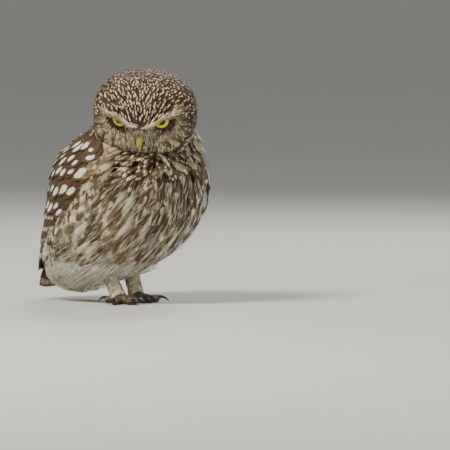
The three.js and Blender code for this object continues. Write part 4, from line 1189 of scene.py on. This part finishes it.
# ---- legs and toes
leg_look = feather_material("leg_feathers")
for side_name in FEET:
    sign = FEET[side_name][0]
    ankle, axes = foot_axes(side_name)
    count = 2200
    tt = rng.random(count) * 0.75
    tu = rng.random(count) * 2 * math.pi
    path = leg_path(tt, sign)
    ring = np.stack([np.cos(tu), np.sin(tu), 0 * tu], -1)
    rad_ = leg_radius(tt)[:, None]
    roots = path + ring * rad_

    def leg_project(q, sign=sign, ankle=ankle, axes=axes):
        local = (q - ankle) @ axes
        t_ = np.clip((local[..., 2] - 3) / 43, 0.001, 1)
        centre = leg_path(t_, sign)
        out = local - centre
        out[..., 2] = 0.12
        out = unit(out)
        return ankle + (centre + out * leg_radius(t_)[..., None]) @ axes.T, out @ axes.T

    ways = np.stack([-sign * 0.1 * np.ones(count), -0.6 * np.ones(count), -np.ones(count)], -1) + rng.normal(0, 0.16, (count, 3))
    facts = marks(count, blend(colour(226, 217, 194), colour(196, 180, 148), share(count)), WHITE, (0.8, 0.1, 0.01), 0.08)
    home = np.stack([0.04 + 0.25 * tu / (2 * math.pi) + (0.3 if sign > 0 else 0), 0.75 + 0.1 * tt], -1)
    lay_feathers("leg_feathers_" + side_name, strand(4), ankle + roots @ axes.T, ways @ axes.T, leg_project,
                 mix(5, 9, share(count)), mix(1.0, 1.9, share(count)), (1.2, mix(-1.2, 0.4, share(count))), facts, home,
                 down, arch=0.1, loose=0.2)
    for toe_name, toe in TOES.items():
        toe_angle, toe_length, toe_radius = toe
        way = toe_way(sign, toe_angle)
        across = np.array([way[1], -way[0], 0])
        count = 330
        s = rng.uniform(0.0, 0.86, count)
        lean = rng.uniform(-1.35, 1.35, count)

        def toe_project(q, way=way, across=across, toe=toe, ankle=ankle, axes=axes):
            """The toe's points and normals nearest to points near it."""
            local = (q - ankle) @ axes
            t = np.clip((local * way).sum(-1) / toe[1], 0, 1)
            middle = mix(4.4, toe[2] * 0.86, smooth(0, 0.7, t))
            ends = np.sqrt(1 - (1 - np.minimum((1 - t) / 0.14, 1)) ** 2)
            thick = toe[2] * (1.12 - 0.2 * t + 0.07 * np.cos(t * math.pi * 5)) * ends
            sideways = (local * across).sum(-1)
            up = local[..., 2] - middle
            size = np.maximum(np.hypot(sideways, up), 0.3)
            out = across * (sideways / size)[..., None] + np.array([0, 0, 1]) * (up / size)[..., None]
            centre = way * (local * way).sum(-1)[..., None] + np.array([0, 0, 1]) * middle[..., None]
            return ankle + (centre + out * thick[..., None]) @ axes.T, out @ axes.T

        middle = mix(4.4, toe_radius * 0.86, smooth(0, 0.7, s))
        roots = way * (toe_length * s)[:, None] + across * (3 * np.sin(lean))[:, None]
        roots[:, 2] = middle + 3 * np.cos(lean)
        lie = way + across * (0.4 * np.sin(lean))[:, None] + rng.normal(0, 0.12, (count, 3))
        ground = blend(colour(176, 158, 126), colour(104, 80, 56), share(count) ** 0.8)
        home = np.stack([0.04 + 0.25 * s, 0.9 + 0.03 * share(count)], -1)
        lay_feathers(f"toe_feathers_{toe_name}_{side_name}", strand(4), ankle + roots @ axes.T, lie @ axes.T, toe_project,
                     mix(2.2, 4.2, share(count)), mix(0.35, 0.7, share(count)), (0.3, mix(-0.7, 0.1, share(count))),
                     marks(count, ground, ground, (0.8, 0.1, 0.01), 0.08), home, down, arch=0.1, loose=0.15)

# ---- bill
def horn_mesh(path, wide, tall, across, steps=40, sides=28):
    t = (1 - np.cos(np.linspace(0.02, math.pi - 0.02, steps))) / 2
    centre = path(t)
    along = unit(np.gradient(centre, axis=0))
    upward = unit(np.cross(across, along))
    turn = np.linspace(0, 2 * math.pi, sides, endpoint=False)
    return centre[:, None] + across * (wide(t)[:, None] * np.cos(turn))[..., None] + upward[:, None] * (tall(t)[:, None] * np.sin(turn))[..., None]


def blunt(t, start, end):
    ease = lambda x: np.sqrt(1 - (1 - np.minimum(x, 1)) ** 2)
    return ease(t / start) * ease((1 - t) / end)


def bill_material():
    """Horn: grey olive at the base, olive yellow down the ridge, and amber at the tip; the sides are darker than the
    ridge, painted shade against a painted highlight on the ridge.
    """
    material = plain_material("bill_horn", colour(150, 140, 58), 0.36, 500, 0.0001, 0.15, 0.45)
    tree = material.node_tree
    shade = next(node for node in tree.nodes if node.type == "HUE_SAT")
    split = tree.nodes.new("ShaderNodeSeparateXYZ")
    tree.links.new(attribute(tree, "horn")["Vector"], split.inputs[0])
    tone = mix_colour(tree, ramp(tree, split.outputs[0], 0.1, 0.55), tuple(colour(98, 96, 66)), tuple(colour(152, 144, 56)))
    tone = mix_colour(tree, ramp(tree, split.outputs[0], 0.6, 0.95), tone, tuple(colour(188, 130, 30)))
    # Painted shade: darker towards the bill's sides, away from the ridge, which leaves the ridge as a painted
    # highlight.
    tone = mix_colour(tree, ramp(tree, split.outputs[1], 0.3, 1.0), tone, tuple(colour(112, 108, 52)))
    tree.links.new(tone, shade.inputs["Color"])
    return material


horn_look = bill_material()
claw_look = plain_material("claw_horn", colour(44, 44, 50), 0.25, 700, 0.00008, 0.3, 0.5)
upper_path = lambda t: np.stack([0 * t, 2 - 18.5 * t ** 1.3, 25 + 12.5 * np.sin(math.pi * 0.64 * t)], -1)
upper_size = lambda t: (1 - 0.93 * t ** 2.0) * blunt(t, 0.1, 0.04)
lower_path = lambda t: np.stack([0 * t, -7 - 7.5 * t, 22 + 9.5 * np.sin(math.pi * 0.5 * t)], -1)
lower_size = lambda t: (1 - 0.6 * t ** 2) * blunt(t, 0.15, 0.2)
X_AXIS = np.array([1.0, 0, 0])
for name, path, size, wide, tall in (("bill_upper", upper_path, upper_size, 4.3, 4.2), ("bill_lower", lower_path, lower_size, 3.1, 2.4)):
    rings = horn_mesh(path, lambda t: wide * size(t), lambda t: tall * size(t), X_AXIS)
    v, quads = closed(rings)
    down_bill = np.repeat(np.linspace(0, 1, rings.shape[0]), rings.shape[1])
    off_ridge = np.abs(rings[..., 0]).ravel() / wide
    horn_facts = np.stack([np.append(down_bill, [0, 1]), np.append(off_ridge, [0, 0]), np.zeros(len(v))], -1)
    mesh = mesh_of(name + "_horn", HEAD_CENTRE + v @ HEAD_AXES.T, quads, None, {"horn": horn_facts})
    obj = new_object(name + "_horn", mesh, horn_look)
    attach(obj, "root")
    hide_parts(name)

# ---- claws
for side_name in FEET:
    sign = FEET[side_name][0]
    ankle, axes = foot_axes(side_name)
    for toe_name, (turn, length, radius) in TOES.items():
        way = toe_way(sign, turn)
        start = way * (length - 2.2) + np.array([0, 0, 4.0])
        sweep_angle = math.radians(88)
        rise = math.radians(24)
        reach = 11.5 / sweep_angle

        def path(t):
            slope = t * sweep_angle - rise
            out = reach * (np.sin(slope) + math.sin(rise))
            drop = reach * (math.cos(rise) - np.cos(slope))
            return start + way * out[:, None] - np.array([0, 0, 1]) * drop[:, None]

        size = lambda t: 1.5 * (1 - 0.88 * t ** 1.3) * blunt(t, 0.12, 0.03)
        across = np.array([way[1], -way[0], 0])
        rings = horn_mesh(path, lambda t: size(t) * 0.8, size, across, 30, 16)
        v, quads = closed(ankle + rings @ axes.T)
        name = f"claw_{toe_name}_{side_name}"
        obj = new_object(name + "_horn", mesh_of(name + "_horn", v, quads), claw_look)
        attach(obj, "root")
        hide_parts(name)

# ---- eyes
def eye_material():
    material = bpy.data.materials.new("iris")
    material.use_nodes = True
    tree = material.node_tree
    shader = tree.nodes["Principled BSDF"]
    place = attribute(tree, "gaze")["Vector"]
    split = tree.nodes.new("ShaderNodeSeparateXYZ")
    tree.links.new(place, split.inputs[0])
    radius = split.outputs[0]
    flecks = noise(tree, place, 6, 3)
    yellow = mix_colour(tree, ramp(tree, flecks, 0.35, 0.65), tuple(colour(206, 186, 20)), tuple(colour(232, 216, 60)))
    yellow = mix_colour(tree, ramp(tree, radius, 0.42, 0.62), tuple(colour(170, 140, 12)), yellow)
    yellow = mix_colour(tree, ramp(tree, radius, 0.82, 0.9), yellow, tuple(colour(12, 11, 10)))
    final = mix_colour(tree, ramp(tree, radius, 0.4, 0.43), tuple(colour(4, 4, 4)), yellow)
    tree.links.new(final, shader.inputs["Base Color"])
    shader.inputs["Roughness"].default_value = 0.12
    shader.inputs["Specular IOR Level"].default_value = 0.35
    return material


iris_look = eye_material()
lid_look = plain_material("eyelid_skin", colour(26, 22, 20), 0.5, 1500, 0.0001, 0.2, 0.4)
LID_RADIUS = 6.35
LID_THICKNESS = 0.75
for side_name, side in (("left", 1), ("right", -1)):
    tilt = np.linspace(0.001, math.pi - 0.001, 60)[:, None]
    turn = np.linspace(0, 2 * math.pi, 64, endpoint=False)[None]
    ball = np.stack([np.sin(tilt) * np.sin(turn), np.sin(tilt) * np.cos(turn), np.cos(tilt) * np.ones_like(turn)], -1)
    a = math.radians(side * 10)
    b = math.radians(8)
    gaze = np.array([[math.cos(a), 0, math.sin(a)], [0, 1, 0], [-math.sin(a), 0, math.cos(a)]])
    gaze = gaze @ np.array([[1, 0, 0], [0, math.cos(b), math.sin(b)], [0, -math.sin(b), math.cos(b)]])
    centre = np.array([side * EYE_CENTRE[0], EYE_CENTRE[1], EYE_CENTRE[2]])
    v, quads = closed(ball * 8.35)
    radius = np.hypot(v[:, 0], v[:, 1]) / 6.9
    radius = np.where(v[:, 2] < 0, 2, radius)
    gaze_facts = np.stack([radius, v[:, 0] / 6.4, v[:, 1] / 6.4], -1)
    mesh = mesh_of("eyeball_" + side_name, HEAD_CENTRE + (centre + v @ gaze.T) @ HEAD_AXES.T, quads, None, {"gaze": gaze_facts})
    obj = new_object("eyeball_" + side_name, mesh, iris_look)
    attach(obj, "root")
    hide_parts("eye_" + side_name)
    round_ = np.linspace(0, 2 * math.pi, 72, endpoint=False)[:, None]
    section = np.linspace(0, 2 * math.pi, 14, endpoint=False)[None]
    lid_reach = LID_RADIUS + LID_THICKNESS * np.cos(section)
    lid = np.stack([lid_reach * np.cos(round_), lid_reach * np.sin(round_),
                    math.sqrt(8.35 ** 2 - LID_RADIUS ** 2) + LID_THICKNESS * np.sin(section) + 0 * round_], -1)
    i, j = np.meshgrid(np.arange(72), np.arange(14), indexing="ij")
    lid_quads = np.stack([i * 14 + j, (i + 1) % 72 * 14 + j, (i + 1) % 72 * 14 + (j + 1) % 14, i * 14 + (j + 1) % 14], -1).reshape(-1, 4)
    points = HEAD_CENTRE + (centre + lid.reshape(-1, 3) @ gaze.T) @ HEAD_AXES.T
    obj = new_object("eyelid_" + side_name, mesh_of("eyelid_" + side_name, points, lid_quads), lid_look)
    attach(obj, "root")

# ---- floor, light and camera
floor_mesh = bpy.data.meshes.new("floor")
floor_mesh.from_pydata([(-200, -200, 0), (200, -200, 0), (200, 200, 0), (-200, 200, 0)], [], [(0, 1, 2, 3)])
floor = new_object("floor", floor_mesh, plain_material("floor_paper", colour(205, 203, 196), 0.9, 40, 0.00001, 0.01, 0.1))
world = bpy.data.worlds.new("studio")
bpy.context.scene.world = world
world.use_nodes = True
world.node_tree.nodes["Background"].inputs[0].default_value = (0.9, 0.91, 0.92, 1)
world.node_tree.nodes["Background"].inputs[1].default_value = 0.36

VIEW_AZIMUTH, VIEW_ELEVATION = math.radians(-50), math.radians(3)
RIGHT = np.array([math.cos(VIEW_AZIMUTH), math.sin(VIEW_AZIMUTH), 0])
TOWARD = np.array([math.sin(VIEW_AZIMUTH) * math.cos(VIEW_ELEVATION), -math.cos(VIEW_AZIMUTH) * math.cos(VIEW_ELEVATION), math.sin(VIEW_ELEVATION)])
UP = np.cross(TOWARD, RIGHT)


def area_light(name, place, target, size, watts, tint=(1, 1, 1)):
    data = bpy.data.lights.new(name, "AREA")
    data.shape = "DISK"
    data.size = size
    data.energy = watts
    data.color = tint
    obj = bpy.data.objects.new(name, data)
    bpy.context.scene.collection.objects.link(obj)
    obj.location = place
    obj.rotation_euler = (Vector(target) - Vector(place)).to_track_quat("-Z", "Y").to_euler()


middle = Vector((0, 0, 0.1))
area_light("key", middle + Vector(TOWARD * 0.9 + RIGHT * -0.7 + UP * 1.1), middle, 0.45, 30, (1, 0.97, 0.92))
area_light("fill", middle + Vector(TOWARD * 1.2 + RIGHT * 1.1 + UP * 0.4), middle, 1.2, 10, (0.93, 0.96, 1))
area_light("rim", middle + Vector(TOWARD * -1.0 + RIGHT * 0.3 + UP * 1.0), middle, 0.8, 12)

target = (RIGHT * 76.8 + UP * 62.4 + SHIFT) * MM
DISTANCE = 4.0
camera_data = bpy.data.cameras.new("camera")
camera_data.sensor_width = 36
camera_data.lens = 36 * DISTANCE / 0.36
camera_data.clip_end = 500
camera = bpy.data.objects.new("camera", camera_data)
bpy.context.scene.collection.objects.link(camera)
camera.location = Vector(target + TOWARD * DISTANCE)
camera.rotation_euler = Vector(-TOWARD).to_track_quat("-Z", "Y").to_euler()
bpy.context.scene.camera = camera
